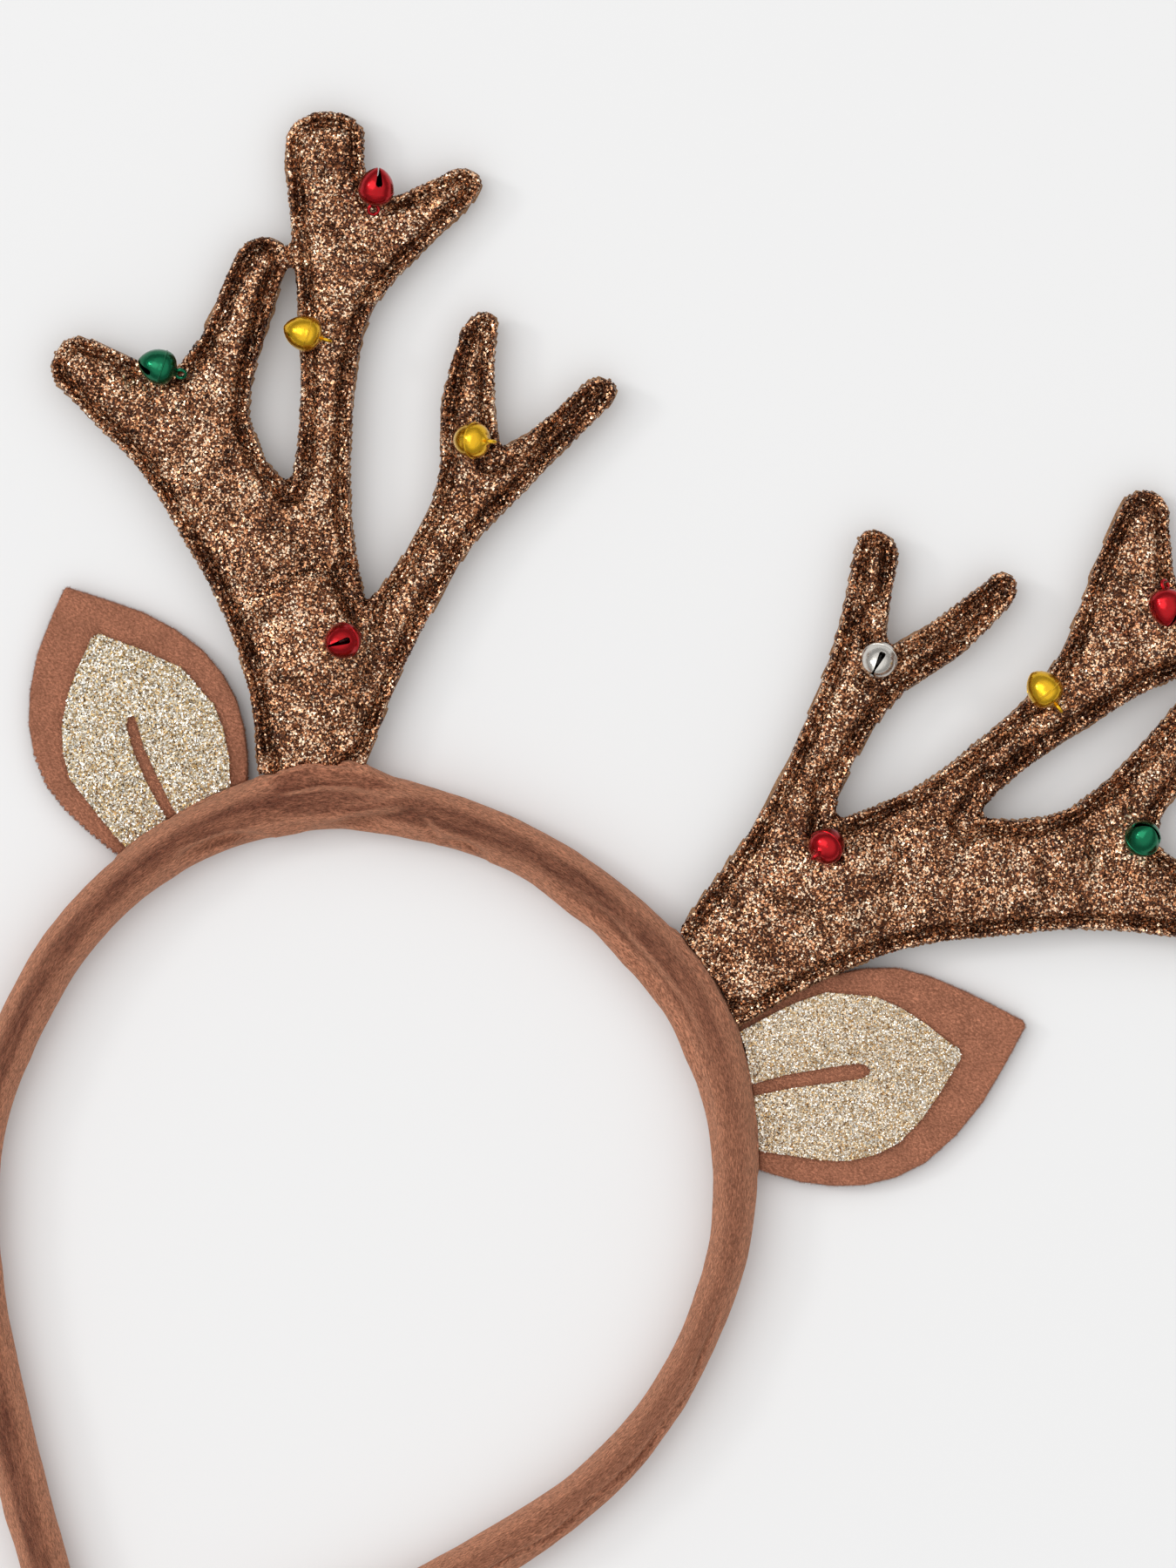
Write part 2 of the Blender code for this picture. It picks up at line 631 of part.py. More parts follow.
def main():
    """Make the band, then what is sewn to it, then the bells."""
    clear_scene()
    parts = new_collection("reindeer_antler_headband")
    cutters = new_collection("cutters")

    band = add_object("headband", band_mesh("headband"), parts, new_material("headband", VELVET))
    clearance = add_cutter("band_clearance", band_mesh("band_clearance", GAP), cutters)
    sewn = []
    for side in SIDES:
        sewn += make_antler(side, parts) + make_ear(side, parts, cutters)
    for piece in sewn:
        cut(piece, clearance)

    origin = bpy.data.objects.new("headband_origin", None)
    parts.objects.link(origin)
    pattern = bell_pattern(new_collection("bell_helpers"))
    for bell in BELLS:
        place_bell(bell, pattern, parts, origin)
    bpy.data.meshes.remove(pattern)
    for obj in [band, *sewn, *cutters.objects]:
        obj.parent = origin
    origin.location = -middle_of([band, *sewn])


main()
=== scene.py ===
"""The looks of a reindeer antler headband: velvet, glitter fabric, felt and jingle bells.

It is laid out as an add-on and run as a script. Lengths are metres, except in tables and values that
say millimetres. Places "in the headband's plane" are millimetres across from the middle of the band
and up from its crown, towards the tips of the antlers.
"""
import json
import math
from collections import namedtuple

import bpy
import numpy as np
from bpy.props import FloatProperty, FloatVectorProperty, IntProperty, PointerProperty
from mathutils import Matrix, Quaternion, Vector, noise
from mathutils.bvhtree import BVHTree
from mathutils.kdtree import KDTree

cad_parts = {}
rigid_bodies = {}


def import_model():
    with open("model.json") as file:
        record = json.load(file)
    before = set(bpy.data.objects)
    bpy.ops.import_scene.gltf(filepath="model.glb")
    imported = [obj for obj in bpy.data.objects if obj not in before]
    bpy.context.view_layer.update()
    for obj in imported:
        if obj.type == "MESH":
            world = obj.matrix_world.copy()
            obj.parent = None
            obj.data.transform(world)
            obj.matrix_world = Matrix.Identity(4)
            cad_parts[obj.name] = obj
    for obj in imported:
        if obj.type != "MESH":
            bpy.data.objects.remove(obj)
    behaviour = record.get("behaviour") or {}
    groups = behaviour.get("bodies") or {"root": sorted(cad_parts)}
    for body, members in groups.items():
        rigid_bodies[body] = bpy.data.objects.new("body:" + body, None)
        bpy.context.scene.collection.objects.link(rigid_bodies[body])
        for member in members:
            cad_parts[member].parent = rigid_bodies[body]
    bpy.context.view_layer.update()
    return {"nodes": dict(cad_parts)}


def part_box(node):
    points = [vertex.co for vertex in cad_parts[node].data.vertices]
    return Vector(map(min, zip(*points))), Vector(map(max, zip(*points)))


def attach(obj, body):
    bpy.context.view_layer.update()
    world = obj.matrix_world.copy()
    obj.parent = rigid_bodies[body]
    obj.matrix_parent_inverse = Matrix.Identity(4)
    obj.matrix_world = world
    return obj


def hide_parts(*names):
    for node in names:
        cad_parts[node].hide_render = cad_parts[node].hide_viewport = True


for leftover in list(bpy.data.objects):
    bpy.data.objects.remove(leftover, do_unlink=True)
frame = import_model()

bl_info = {
    "name": "Reindeer antler headband",
    "version": (1, 0, 0),
    "blender": (4, 5, 0),
    "location": "View3D > Sidebar > Headband",
    "description": "Builds the velvet, glitter, felt and bells of a reindeer antler headband",
    "category": "Object",
}

MM = 0.001
BODY = "root"
SIDES = ("left", "right")
# The zero of the headband's plane, in the frame
PLANE_ORIGIN = Vector((-0.9, 21.8)) * MM
BAND_HALF = 8.0 * MM        # half the band's width, as the velvet's pattern takes it
UPRIGHT = 0.25              # a face is a side if its normal rises or falls less than this
FACING_UP = 0.15            # a face takes glitter if its normal rises more than this
SIDE_SPACING = 0.25 * MM    # between the points that stand for a piece's sides
CLEAR_OF_BAND = 0.7 * MM    # sides nearer to the band than this were cut for it
STUFFING_STEPS = 20         # of the simulation that blows the antlers up
STUFFING_REACH = 2.0 * MM   # the furthest that it may move a point

# A fold of the velvet: its line in the headband's plane, how wide it is and how far it sinks or, below
# zero, rises
Fold = namedtuple("Fold", "name width depth line")
VELVET_FOLDS = [
    Fold("pleat over the left antler", 1.4, -1.3, [(-45.5, -3.6), (-38.7, 2.5), (-32.9, 5.3), (-27.0, 6.3)]),
    Fold("crease under that pleat", 0.7, 1.2, [(-43.0, -4.4), (-37.8, 0.4), (-33.0, 2.6), (-28.0, 3.8)]),
    Fold("inner tuck by the left ear", 1.0, 1.8, [(-53.8, -22.5), (-46.9, -15.6), (-40.2, -12.2)]),
    Fold("inner tuck left of the crown", 1.3, 1.3, [(-36.5, -9.6), (-30.4, -3.9), (-24.9, 0.2),
                                                    (-20.0, 4.6)]),
    Fold("pleat outside that tuck", 1.1, -0.9, [(-35.5, -6.6), (-31.0, -2.0), (-26.0, 2.0), (-21.6, 5.6)]),
    Fold("short crease across", 0.7, 1.0, [(-20.1, 3.2), (-14.9, 0.2)]),
    Fold("crease at the crown", 0.8, 1.3, [(-14.9, 0.7), (-10.0, 1.7), (-5.6, 1.5)]),
    Fold("long inner ridge", 1.1, -0.7, [(3.0, 1.3), (15.2, 0.3), (23.3, -3.1), (33.4, -7.1),
                                         (43.5, -15.6)]),
    Fold("valley outside that ridge", 1.1, 0.8, [(6.0, 3.4), (16.5, 2.2), (25.0, -1.2), (34.8, -5.4),
                                                 (45.4, -14.0)]),
    Fold("tuck under the right antler", 0.9, 1.2, [(44.0, -19.0), (48.5, -25.5), (51.0, -33.0)]),
    Fold("seam down the right leg", 0.4, 1.2, [(64.0, -48.0), (66.0, -64.0), (63.9, -77.3), (56.8, -95.8),
                                               (45.0, -113.0)]),
]

# The ends of the scalloped edge of the left ear, in the headband's plane
PINKED_EDGE = ((-84.0, -18.0), (-63.0, -27.0))

# A bell: the way its loop points (degrees from +X), how far its slotted side is raised and how far the
# slot is turned about the bell's axis
Bell = namedtuple("Bell", "node finish heading pitch roll")
BELLS = [
    Bell("bell_left_top", "red", -71.0, 22.0, 102.0),
    Bell("bell_left_outer", "green", 9.0, 5.0, 52.0),
    Bell("bell_left_stem", "gold", 10.0, 6.0, 0.0),
    Bell("bell_left_inner", "gold", 22.0, -36.0, 0.0),
    Bell("bell_left_base", "red", 50.0, 50.0, 82.0),
    Bell("bell_right_top", "red", 120.0, 20.0, 40.0),
    Bell("bell_right_outer", "green", -98.0, 50.0, 6.0),
    Bell("bell_right_stem", "gold", -25.0, 5.0, 0.0),
    Bell("bell_right_inner", "silver", 90.0, 55.0, 90.0),
    Bell("bell_right_base", "red", -113.0, -48.0, 0.0),
]
BELL_RADIUS = 3.2 * MM      # of its solid
BELL_POLE = 3.3 * MM        # from the middle of its solid to the tip of its slotted side
BELL_SHIFT = 0.9 * MM       # from that middle to the rolled flange, towards the loop
BELL_WALL = 0.3 * MM

# The bell's outline, radius and height in mm: from the flange to the tip of the slotted side, and from
# the flange to the neck that the loop stands on
BELL_FLANGE = 3.15
BELL_FRONT = [(3.15, 0.08), (3.05, 0.15), (3.02, 0.7), (2.88, 1.4), (2.6, 2.1), (2.18, 2.75), (1.62, 3.35),
              (0.98, 3.82), (0.4, 4.1)]
BELL_BACK = [(3.15, -0.08), (3.05, -0.15), (3.0, -0.6), (2.8, -1.15), (2.42, -1.65), (1.88, -2.05),
             (1.26, -2.32), (0.78, -2.52), (0.56, -2.8)]

# The block that cuts the slot, and the slot that it is shaped to
CUTTER_LENGTH = 7.0 * MM
CUTTER_HALF = 0.2 * MM      # half its width before it is shaped
CUTTER_DEPTH = 4.0 * MM
CUTTER_TOP = 5.6 * MM       # over the flange
SLOT_HALF = 0.16 * MM       # half the slot's width at the pole
SLOT_FLARE = 0.6 * MM       # what that half gains one radius out

# The loop behind the bell, and the turn of thread through it
LOOP_RADIUS = 0.84 * MM
LOOP_WIRE = 0.32 * MM       # radius of its wire
LOOP_MIDDLE = -3.4 * MM     # over the flange
LOOP_EYE = 0.45 * MM        # from that middle out to the thread
STITCH_RADIUS = 0.55 * MM
STITCH_THREAD = 0.14 * MM   # radius of the thread
SHORTEST_STITCH = 0.8 * MM

# Tones of the glitter: the share of the flakes at which each begins, and its colour
BROWN_TONES = [(0.0, (0.025, 0.008, 0.004)), (0.30, (0.07, 0.022, 0.009)), (0.54, (0.15, 0.05, 0.02)),
               (0.68, (0.46, 0.18, 0.073)), (0.80, (1.0, 0.54, 0.29)), (0.92, (1.0, 0.76, 0.54))]
PALE_TONES = [(0.0, (0.07, 0.04, 0.02)), (0.12, (0.34, 0.19, 0.07)), (0.30, (0.62, 0.43, 0.19)),
              (0.46, (0.36, 0.32, 0.25)), (0.60, (0.72, 0.63, 0.47)), (0.82, (1.0, 0.98, 0.92))]
GOLDEN_TONES = [(0.0, (0.18, 0.09, 0.035)), (0.14, (0.42, 0.25, 0.10)), (0.32, (0.62, 0.44, 0.24)),
                (0.46, (0.36, 0.33, 0.28)), (0.58, (0.66, 0.54, 0.37)), (0.80, (1.0, 0.95, 0.86))]

# A soft light: how far it stands to the right of the picture's middle, towards its top and over the
# floor and how wide it is, in metres, and its power as a share of the key light's
Light = namedtuple("Light", "name right up height size share")
LIGHTS = [Light("key", -2.2, 0.9, 4.5, 3.4, 1.0), Light("key_side", -4.0, 1.2, 3.2, 0.8, 0.5)]
FLOOR_SIZE = 12.0
FLOOR_HEIGHT = -0.05 * MM


# Settings

def colour(name, description, default):
    """A colour that the user can change."""
    return FloatVectorProperty(name=name, description=description, subtype="COLOR", size=3, min=0.0, max=1.0,
                               default=default)


def length(name, description, millimetres):
    """A length that the user can change, kept in metres."""
    return FloatProperty(name=name, description=description, unit="LENGTH", precision=5, min=0.0,
                         default=millimetres * MM)


def amount(name, description, default, kind=FloatProperty):
    """A plain number that the user can change."""
    return kind(name=name, description=description, default=default, min=0)


class BandSettings(bpy.types.PropertyGroup):
    """The band's velvet."""
    colour: colour("Velvet", "Colour of the velvet on its flanks", (0.42, 0.175, 0.10))
    # Painted shade: the crest colour darkens the band where it lies level, as velvet looks when its nap is
    # seen end on
    crest_shade: colour("Velvet crest", "Colour where the nap is seen end on", (0.145, 0.046, 0.026))
    unevenness: length("Unevenness", "How far the wound velvet rises and falls", 0.3)


class AntlerSettings(bpy.types.PropertyGroup):
    """The padded glitter fabric."""
    flake: length("Flake size", "Width of a flake of glitter", 0.42)
    flakes: amount("Flakes", "Flakes on each antler", 38500, IntProperty)
    channel: length("Channel inset", "How far the stitched channel lies inside the edge", 1.9)
    channel_depth: length("Channel depth", "How deep the stitched channel is", 1.15)
    crown: length("Crown", "Height of the stuffing over the back of the fabric", 4.6)
    pressure: amount("Stuffing", "Pressure of the stuffing", 11.0)
    slack: amount("Slack", "Share that the fabric is cut too wide by, so that it puckers", 0.06)
    felt: colour("Backing felt", "Colour of the felt behind the glitter fabric", (0.36, 0.20, 0.105))


class EarSettings(bpy.types.PropertyGroup):
    """The felt and glitter of the ears."""
    felt: colour("Ear felt", "Colour of the felt of the ears", (0.38, 0.155, 0.09))
    flake: length("Flake size", "Width of a flake of the pale glitter", 0.36)
    flakes: amount("Flakes", "Flakes on each glitter sheet", 11000, IntProperty)
    fuzz: length("Fuzz", "Length of the fibres at the edge of the felt", 0.5)
    fibres: amount("Fibres", "Fibres round each ear", 3200, IntProperty)


class BellSettings(bpy.types.PropertyGroup):
    """The coated metal of the bells and their thread."""
    red: colour("Red", "Red coated bells", (0.40, 0.004, 0.008))
    green: colour("Green", "Green coated bells", (0.002, 0.13, 0.055))
    gold: colour("Gold", "Gold bells", (0.76, 0.43, 0.015))
    silver: colour("Silver", "Silver bells", (0.66, 0.63, 0.58))
    thread: colour("Thread", "Thread that the bells are sewn on with", (0.06, 0.024, 0.014))


class StageSettings(bpy.types.PropertyGroup):
    """The floor, the light and the camera."""
    floor: colour("Floor", "Colour of the floor", (0.80, 0.80, 0.80))
    key: FloatProperty(name="Key light", description="Power of the widest light, up and to the left",
                       default=55.0, min=0.0, unit="POWER")
    walls: amount("Walls", "Light from all round", 0.38)
    ceiling: amount("Ceiling", "Light from straight above", 1.1)
    camera_height: length("Camera height", "Height of the camera over the floor", 1600.0)
    view_height: length("View height", "Length of floor that the picture's height takes in", 270.0)
    view_middle: FloatVectorProperty(name="View middle", size=2, default=(3.3, 20.9),
                                     description="Middle of the picture, in the headband's plane")
    turn: FloatProperty(name="Turn", description="How far the camera is turned about the vertical",
                        subtype="ANGLE", default=math.radians(27.0))


class HeadbandSettings(bpy.types.PropertyGroup):
    """All the settings of the headband."""
    band: PointerProperty(type=BandSettings)
    antlers: PointerProperty(type=AntlerSettings)
    ears: PointerProperty(type=EarSettings)
    bells: PointerProperty(type=BellSettings)
    stage: PointerProperty(type=StageSettings)


# Meshes

def activate(obj):
    """Select one object alone and make it active."""
    if bpy.context.mode != "OBJECT":
        bpy.ops.object.mode_set(mode="OBJECT")
    bpy.ops.object.select_all(action="DESELECT")
    obj.select_set(True)
    bpy.context.view_layer.objects.active = obj


def basic_shape(operator, **settings):
    """A new basic shape, selected alone."""
    bpy.ops.object.select_all(action="DESELECT")
    operator(**settings)
    return bpy.context.object


def edit_all(obj, operator, **settings):
    """Work on the whole of an object's mesh with one operator."""
    activate(obj)
    bpy.ops.object.mode_set(mode="EDIT")
    bpy.ops.mesh.select_all(action="SELECT")
    operator(**settings)
    bpy.ops.object.mode_set(mode="OBJECT")


def points_of(mesh):
    """The places of a mesh's vertices as an array."""
    co = np.empty(len(mesh.vertices) * 3)
    mesh.vertices.foreach_get("co", co)
    return co.reshape(-1, 3)


def move_points(mesh, co):
    """Put a mesh's vertices at the places of an array."""
    mesh.vertices.foreach_set("co", np.ascontiguousarray(co, dtype=np.float32).ravel())
    mesh.update()


def normals_of(mesh):
    """The directions that a mesh's vertices face as an array."""
    normals = np.empty(len(mesh.vertices) * 3)
    mesh.vertex_normals.foreach_get("vector", normals)
    return normals.reshape(-1, 3)


def store(mesh, name, values):
    """Keep one number for each vertex for the materials."""
    attribute = mesh.attributes.new(name, "FLOAT", "POINT")
    attribute.data.foreach_set("value", np.asarray(values, dtype=np.float32))


def add_piece(name, mesh):
    """A new object at the origin."""
    obj = bpy.data.objects.new(name, mesh)
    bpy.context.scene.collection.objects.link(obj)
    return obj


def copy_of(node, name):
    """A welded copy of a node's solid to work on."""
    mesh = frame["nodes"][node].data.copy()
    mesh.name = name
    mesh.materials.clear()
    obj = add_piece(name, mesh)
    edit_all(obj, bpy.ops.mesh.remove_doubles, threshold=0.002 * MM)
    return obj


def modify(obj, kind, **settings):
    """Add a modifier and apply it."""
    activate(obj)
    modifier = obj.modifiers.new(kind.lower(), kind)
    for name, value in settings.items():
        setattr(modifier, name, value)
    bpy.ops.object.modifier_apply(modifier=modifier.name)


def remesh(obj, voxel):
    """Rebuild an object's mesh evenly, in steps of one size."""
    modify(obj, "REMESH", mode="VOXEL", voxel_size=voxel, use_smooth_shade=True)


def dress(obj, material, slot, *nodes):
    """Finish a piece: its material and the nodes it stands for, which it hides. The slot is not used."""
    obj.data.materials.clear()
    obj.data.materials.append(material)
    obj.data.shade_smooth()
    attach(obj, BODY)
    if nodes:
        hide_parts(*nodes)


def tree_of(mesh):
    """A mesh, ready to be asked for its nearest point."""
    return BVHTree.FromPolygons([v.co for v in mesh.vertices], [p.vertices[:] for p in mesh.polygons])


def solid_tree(node):
    """A node's solid, ready to be asked the same."""
    return tree_of(frame["nodes"][node].data)


def sides_of(node):
    """A tree of points along a node's upright sides, seen from above, without those cut for the band."""
    band = solid_tree("headband")
    mesh = frame["nodes"][node].data
    found = set()
    for face in mesh.polygons:
        if abs(face.normal.z) > UPRIGHT:
            continue
        corners = [mesh.vertices[i].co for i in face.vertices]
        for a, b in zip(corners, corners[1:] + corners[:1]):
            length_seen = (a - b).xy.length
            if length_seen < 0.02 * MM:
                continue
            steps = max(1, math.ceil(length_seen / SIDE_SPACING))
            for step in range(steps):
                place = a.lerp(b, step / steps)
                if band.find_nearest(place)[3] > CLEAR_OF_BAND:
                    found.add((round(place.x, 5), round(place.y, 5)))
    tree = KDTree(len(found))
    for i, (x, y) in enumerate(sorted(found)):
        tree.insert((x, y, 0.0), i)
    tree.balance()
    return tree


def distances(tree, co):
    """How far inside the sides each place lies, seen from above."""
    return np.array([tree.find((x, y, 0.0))[2] for x, y, _ in co])


def near_edge(node, co, reach):
    """1 at a node's upright sides, falling to 0 a distance in from them."""
    return np.clip(1.0 - distances(sides_of(node), co) / reach, 0.0, 1.0)


def ramp_up(value, start, reach):
    """0 up to a start, rising from there to 1."""
    return np.clip((value - start) / reach, 0.0, 1.0)


def groove(apart, width):
    """1 on a line, fading smoothly away from it."""
    return np.exp(-(apart / width) ** 2)


def floors(node, co):
    """The height of the underside of a node's solid at each place, or the node's lowest if it misses."""
    tree = solid_tree(node)
    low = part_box(node)[0].z
    up = Vector((0.0, 0.0, 1.0))
    heights = []
    for x, y, _ in co:
        hit = tree.ray_cast(Vector((x, y, -1.0)), up)[0]
        heights.append(hit.z if hit else low)
    return np.array(heights)


def rumple(co, size, seed):
    """A smooth uneven value from about -1 to 1 at each place."""
    shift = Vector((seed * 13.7, seed * 7.1, seed * 3.3))
    return np.array([noise.noise(Vector(p) / size + shift) for p in co])


# Materials

class Finish:
    """A material under construction: its nodes are added and joined with short calls."""

    def __init__(self, name, **shader):
        self.material = bpy.data.materials.new(name)
        self.material.use_nodes = True
        self.tree = self.material.node_tree
        self.shader = self.tree.nodes["Principled BSDF"]
        self.join(self.shader, shader)

    def join(self, node, inputs):
        """Set or link a node's inputs. Underscores stand for the spaces in their names."""
        for name, value in inputs.items():
            socket = node.inputs[int(name[1:])] if name[0] == "i" and name[1:].isdigit() else \
                node.inputs[name.replace("_", " ")]
            if isinstance(value, bpy.types.NodeSocket):
                self.tree.links.new(value, socket)
            elif hasattr(value, "__len__") and len(value) == 3 and socket.type == "RGBA":
                socket.default_value = (*value, 1.0)
            else:
                socket.default_value = value

    def add(self, kind, inputs=None, **settings):
        """Add a node and return it."""
        node = self.tree.nodes.new("ShaderNode" + kind)
        for name, value in settings.items():
            setattr(node, name, value)
        self.join(node, inputs or {})
        return node

    def places(self):
        """Object coordinates."""
        return self.add("TexCoord").outputs["Object"]

    def attribute(self, name):
        """A number kept on the mesh."""
        return self.add("Attribute", attribute_name=name).outputs["Fac"]

    def mapped(self, vector, scale, rotation=(0.0, 0.0, 0.0)):
        """Coordinates stretched and turned."""
        return self.add("Mapping", {"Vector": vector, "Rotation": rotation, "Scale": scale}).outputs[0]

    def noise(self, vector, size, detail, roughness=0.5):
        """Noise whose lumps are about as wide as size."""
        return self.add("TexNoise", {"Vector": vector, "Scale": 1.0 / size, "Detail": detail,
                                     "Roughness": roughness}).outputs["Fac"]

    def spread(self, value, low, high):
        """A value brought from a narrow range to 0 to 1, with soft ends."""
        return self.add("MapRange", {"Value": value, "From_Min": low, "From_Max": high},
                        interpolation_type="SMOOTHSTEP").outputs["Result"]

    def between(self, value, low, high, start=0.0, end=1.0):
        """A value going evenly from low to high while another goes from start to end."""
        return self.add("MapRange", {"Value": value, "From_Min": start, "From_Max": end, "To_Min": low,
                                     "To_Max": high}).outputs["Result"]

    def ramp(self, value, stops, interpolation="LINEAR"):
        """Colours picked by a value."""
        node = self.add("ValToRGB", {"Fac": value})
        node.color_ramp.interpolation = interpolation
        band = node.color_ramp.elements
        while len(band) < len(stops):
            band.new(1.0)
        for element, (place, tone) in zip(band, stops):
            element.position = place
            element.color = (*tone, 1.0)
        return node.outputs["Color"]

    def maths(self, operation, a, b=0.0):
        """One step of arithmetic."""
        return self.add("Math", {"i0": a, "i1": b}, operation=operation).outputs[0]

    def vectors(self, operation, inputs):
        """One step of arithmetic on directions."""
        return self.add("VectorMath", inputs, operation=operation).outputs[0]

    def blend(self, share, first, second, mode="MIX"):
        """One colour over another."""
        node = self.add("Mix", data_type="RGBA", blend_type=mode)
        self.join(node, {"i0": share, "i6": first, "i7": second})
        return node.outputs[2]

    def mottle(self, share, base, value, dark, light):
        """A colour darkened and lightened by a value, between two stops."""
        return self.blend(share, base, self.ramp(value, [dark, light]), "MULTIPLY")

    def bump(self, height, distance, strength, normal=None):
        """Low relief from a height between 0 and 1."""
        inputs = {"Height": height, "Distance": distance, "Strength": strength}
        if normal:
            inputs["Normal"] = normal
        return self.add("Bump", inputs).outputs["Normal"]


def tilted_cells(finish, size, tilt):
    """Cells that each face their own way. Returns each cell's random colour and the tilted normal."""
    cells = finish.add("TexVoronoi", {"Vector": finish.places(), "Scale": 1.0 / size}).outputs["Color"]
    centred = finish.vectors("SUBTRACT", {"i0": cells, "i1": (0.5, 0.5, 0.5)})
    scaled = finish.vectors("SCALE", {"i0": centred, "Scale": tilt})
    facing = finish.add("NewGeometry").outputs["Normal"]
    return cells, finish.vectors("NORMALIZE", {"i0": finish.vectors("ADD", {"i0": facing, "i1": scaled})})


def glitter_cloth(name, size, tones, tilt, shade=None):
    """Fabric covered in tiny flakes, each with its own tone and lean, darkened by painted shade where a
    shade attribute is given.
    """
    finish = Finish(name, Roughness=0.32, Metallic=0.75)
    cells, facing = tilted_cells(finish, size, tilt)
    tone = finish.add("SeparateXYZ", {"Vector": cells}).outputs["X"]
    tint = finish.ramp(tone, tones, "CONSTANT")
    if shade:
        # Painted shade: a near-black laid over the tint by the shade attribute
        tint = finish.blend(finish.attribute(shade), tint, (0.010, 0.004, 0.003))
    finish.join(finish.shader, {"Base_Color": tint, "Normal": facing})
    return finish.material


def loose_flakes(name, tones, roughness):
    """The flakes themselves, bright metal in their own tones."""
    finish = Finish(name, Roughness=roughness, Metallic=0.9)
    tint = finish.ramp(finish.attribute("tone"), tones)
    finish.join(finish.shader, {"Base_Color": tint})
    return finish.material


def velvet(settings):
    """Short plush with brushed streaks, in its own colour on the flanks, with painted shade on its level
    crest, where velvet looks darker as its nap is seen end on, and painted shade in the valleys of its
    folds.
    """
    finish = Finish("brown_velvet", Roughness=0.9, Specular_IOR_Level=0.2, Sheen_Weight=0.42,
                    Sheen_Roughness=0.35, Sheen_Tint=(1.0, 0.62, 0.42))
    along, across = finish.attribute("along"), finish.attribute("across")
    height = finish.add("SeparateXYZ", {"Vector": finish.places()}).outputs["Z"]
    wide = finish.maths("MULTIPLY", across, BAND_HALF)
    unrolled = finish.add("CombineXYZ", {"X": along, "Y": wide, "Z": height}).outputs[0]
    slanted = finish.mapped(unrolled, (1.0, 3.5, 2.5), (0.5, 0.0, 0.35))
    streaks = finish.noise(slanted, 2.4 * MM, 5.0, 0.85)
    stretched = finish.mapped(unrolled, (0.3, 1.0, 1.0))
    patches = finish.spread(finish.noise(stretched, 3.6 * MM, 4.0, 0.7), 0.36, 0.66)
    brushed = finish.mapped(unrolled, (0.55, 1.7, 1.0), (0.0, 0.0, 0.6))
    fibres = finish.spread(finish.noise(brushed, 0.5 * MM, 3.0, 0.8), 0.34, 0.66)

    # Painted shade on the level crest, in uneven patches and weaker to the right
    outward = finish.maths("MULTIPLY", finish.maths("ABSOLUTE", finish.maths("SUBTRACT", across, 0.12)), 0.3)
    crest_shade = finish.spread(finish.maths("SUBTRACT", finish.attribute("level"), outward), 0.55, 0.93)
    uneven = finish.between(patches, 0.5, 1.0)
    weaker_right = finish.between(along, 1.0, 0.45, 20.0 * MM, 60.0 * MM)
    dark = finish.maths("MULTIPLY", finish.maths("MULTIPLY", crest_shade, uneven), weaker_right)
    # Painted shade in the folds' valleys, towards a near-black brown
    crease = finish.maths("MULTIPLY", finish.attribute("crease"), 0.4)
    base = finish.blend(dark, tuple(settings.colour), tuple(settings.crest_shade))
    base = finish.blend(crease, base, (0.075, 0.022, 0.012))
    base = finish.mottle(0.45, base, streaks, (0.25, (0.62, 0.6, 0.58)), (0.75, (1.3, 1.3, 1.3)))
    base = finish.mottle(1.0, base, fibres, (0.0, (0.52, 0.48, 0.46)), (1.0, (1.6, 1.6, 1.6)))
    relief = finish.bump(streaks, 0.25 * MM, 0.6)
    finish.join(finish.shader, {"Base_Color": base, "Normal": finish.bump(fibres, 0.12 * MM, 0.9, relief)})
    return finish.material


def felt(name, tint, lump):
    """Pressed fibres: fine noise, a soft sheen and no gloss."""
    finish = Finish(name, Roughness=0.95, Specular_IOR_Level=0.2, Sheen_Weight=0.1, Sheen_Roughness=0.5,
                    Sheen_Tint=(1.0, 0.7, 0.5))
    places = finish.places()
    combed = finish.mapped(places, (1.0, 1.7, 1.0), (0.0, 0.0, 0.9))
    nap = finish.spread(finish.noise(combed, 0.6 * MM, 4.0, 0.9), 0.36, 0.64)
    lumps = finish.noise(places, lump, 2.0)
    base = finish.mottle(1.0, tuple(tint), nap, (0.0, (0.62, 0.57, 0.55)), (1.0, (1.6, 1.6, 1.6)))
    base = finish.mottle(0.5, base, lumps, (0.3, (0.75, 0.74, 0.73)), (0.7, (1.2, 1.2, 1.2)))
    finish.join(finish.shader, {"Base_Color": base, "Normal": finish.bump(nap, 0.1 * MM, 0.9)})
    return finish.material


def coated_metal(name, tint):
    """Bright lacquered sheet metal with faint dents, with painted shade on its inside."""
    finish = Finish(name, Metallic=1.0, Coat_Weight=0.25, Coat_Roughness=0.08)
    marks = finish.noise(finish.places(), 1.3 * MM, 3.0, 0.55)
    # Painted shade: the inside of the shell is darkened to a small share of the tint
    inner = tuple(channel * 0.06 for channel in tint)
    finish.join(finish.shader, {"Base_Color": finish.blend(finish.attribute("inside"), tuple(tint), inner),
                                "Roughness": finish.between(marks, 0.16, 0.30),
                                "Normal": finish.bump(marks, 0.16 * MM, 0.6)})
    return finish.material


def sewing_thread(tint):
    """Plain twisted thread."""
    finish = Finish("bell_thread", Roughness=0.8)
    twist = finish.noise(finish.places(), 0.1 * MM, 1.0)
    finish.join(finish.shader, {"Base_Color": finish.blend(twist, tuple(tint), (0.16, 0.07, 0.04))})
    return finish.material


# Glitter and fibres

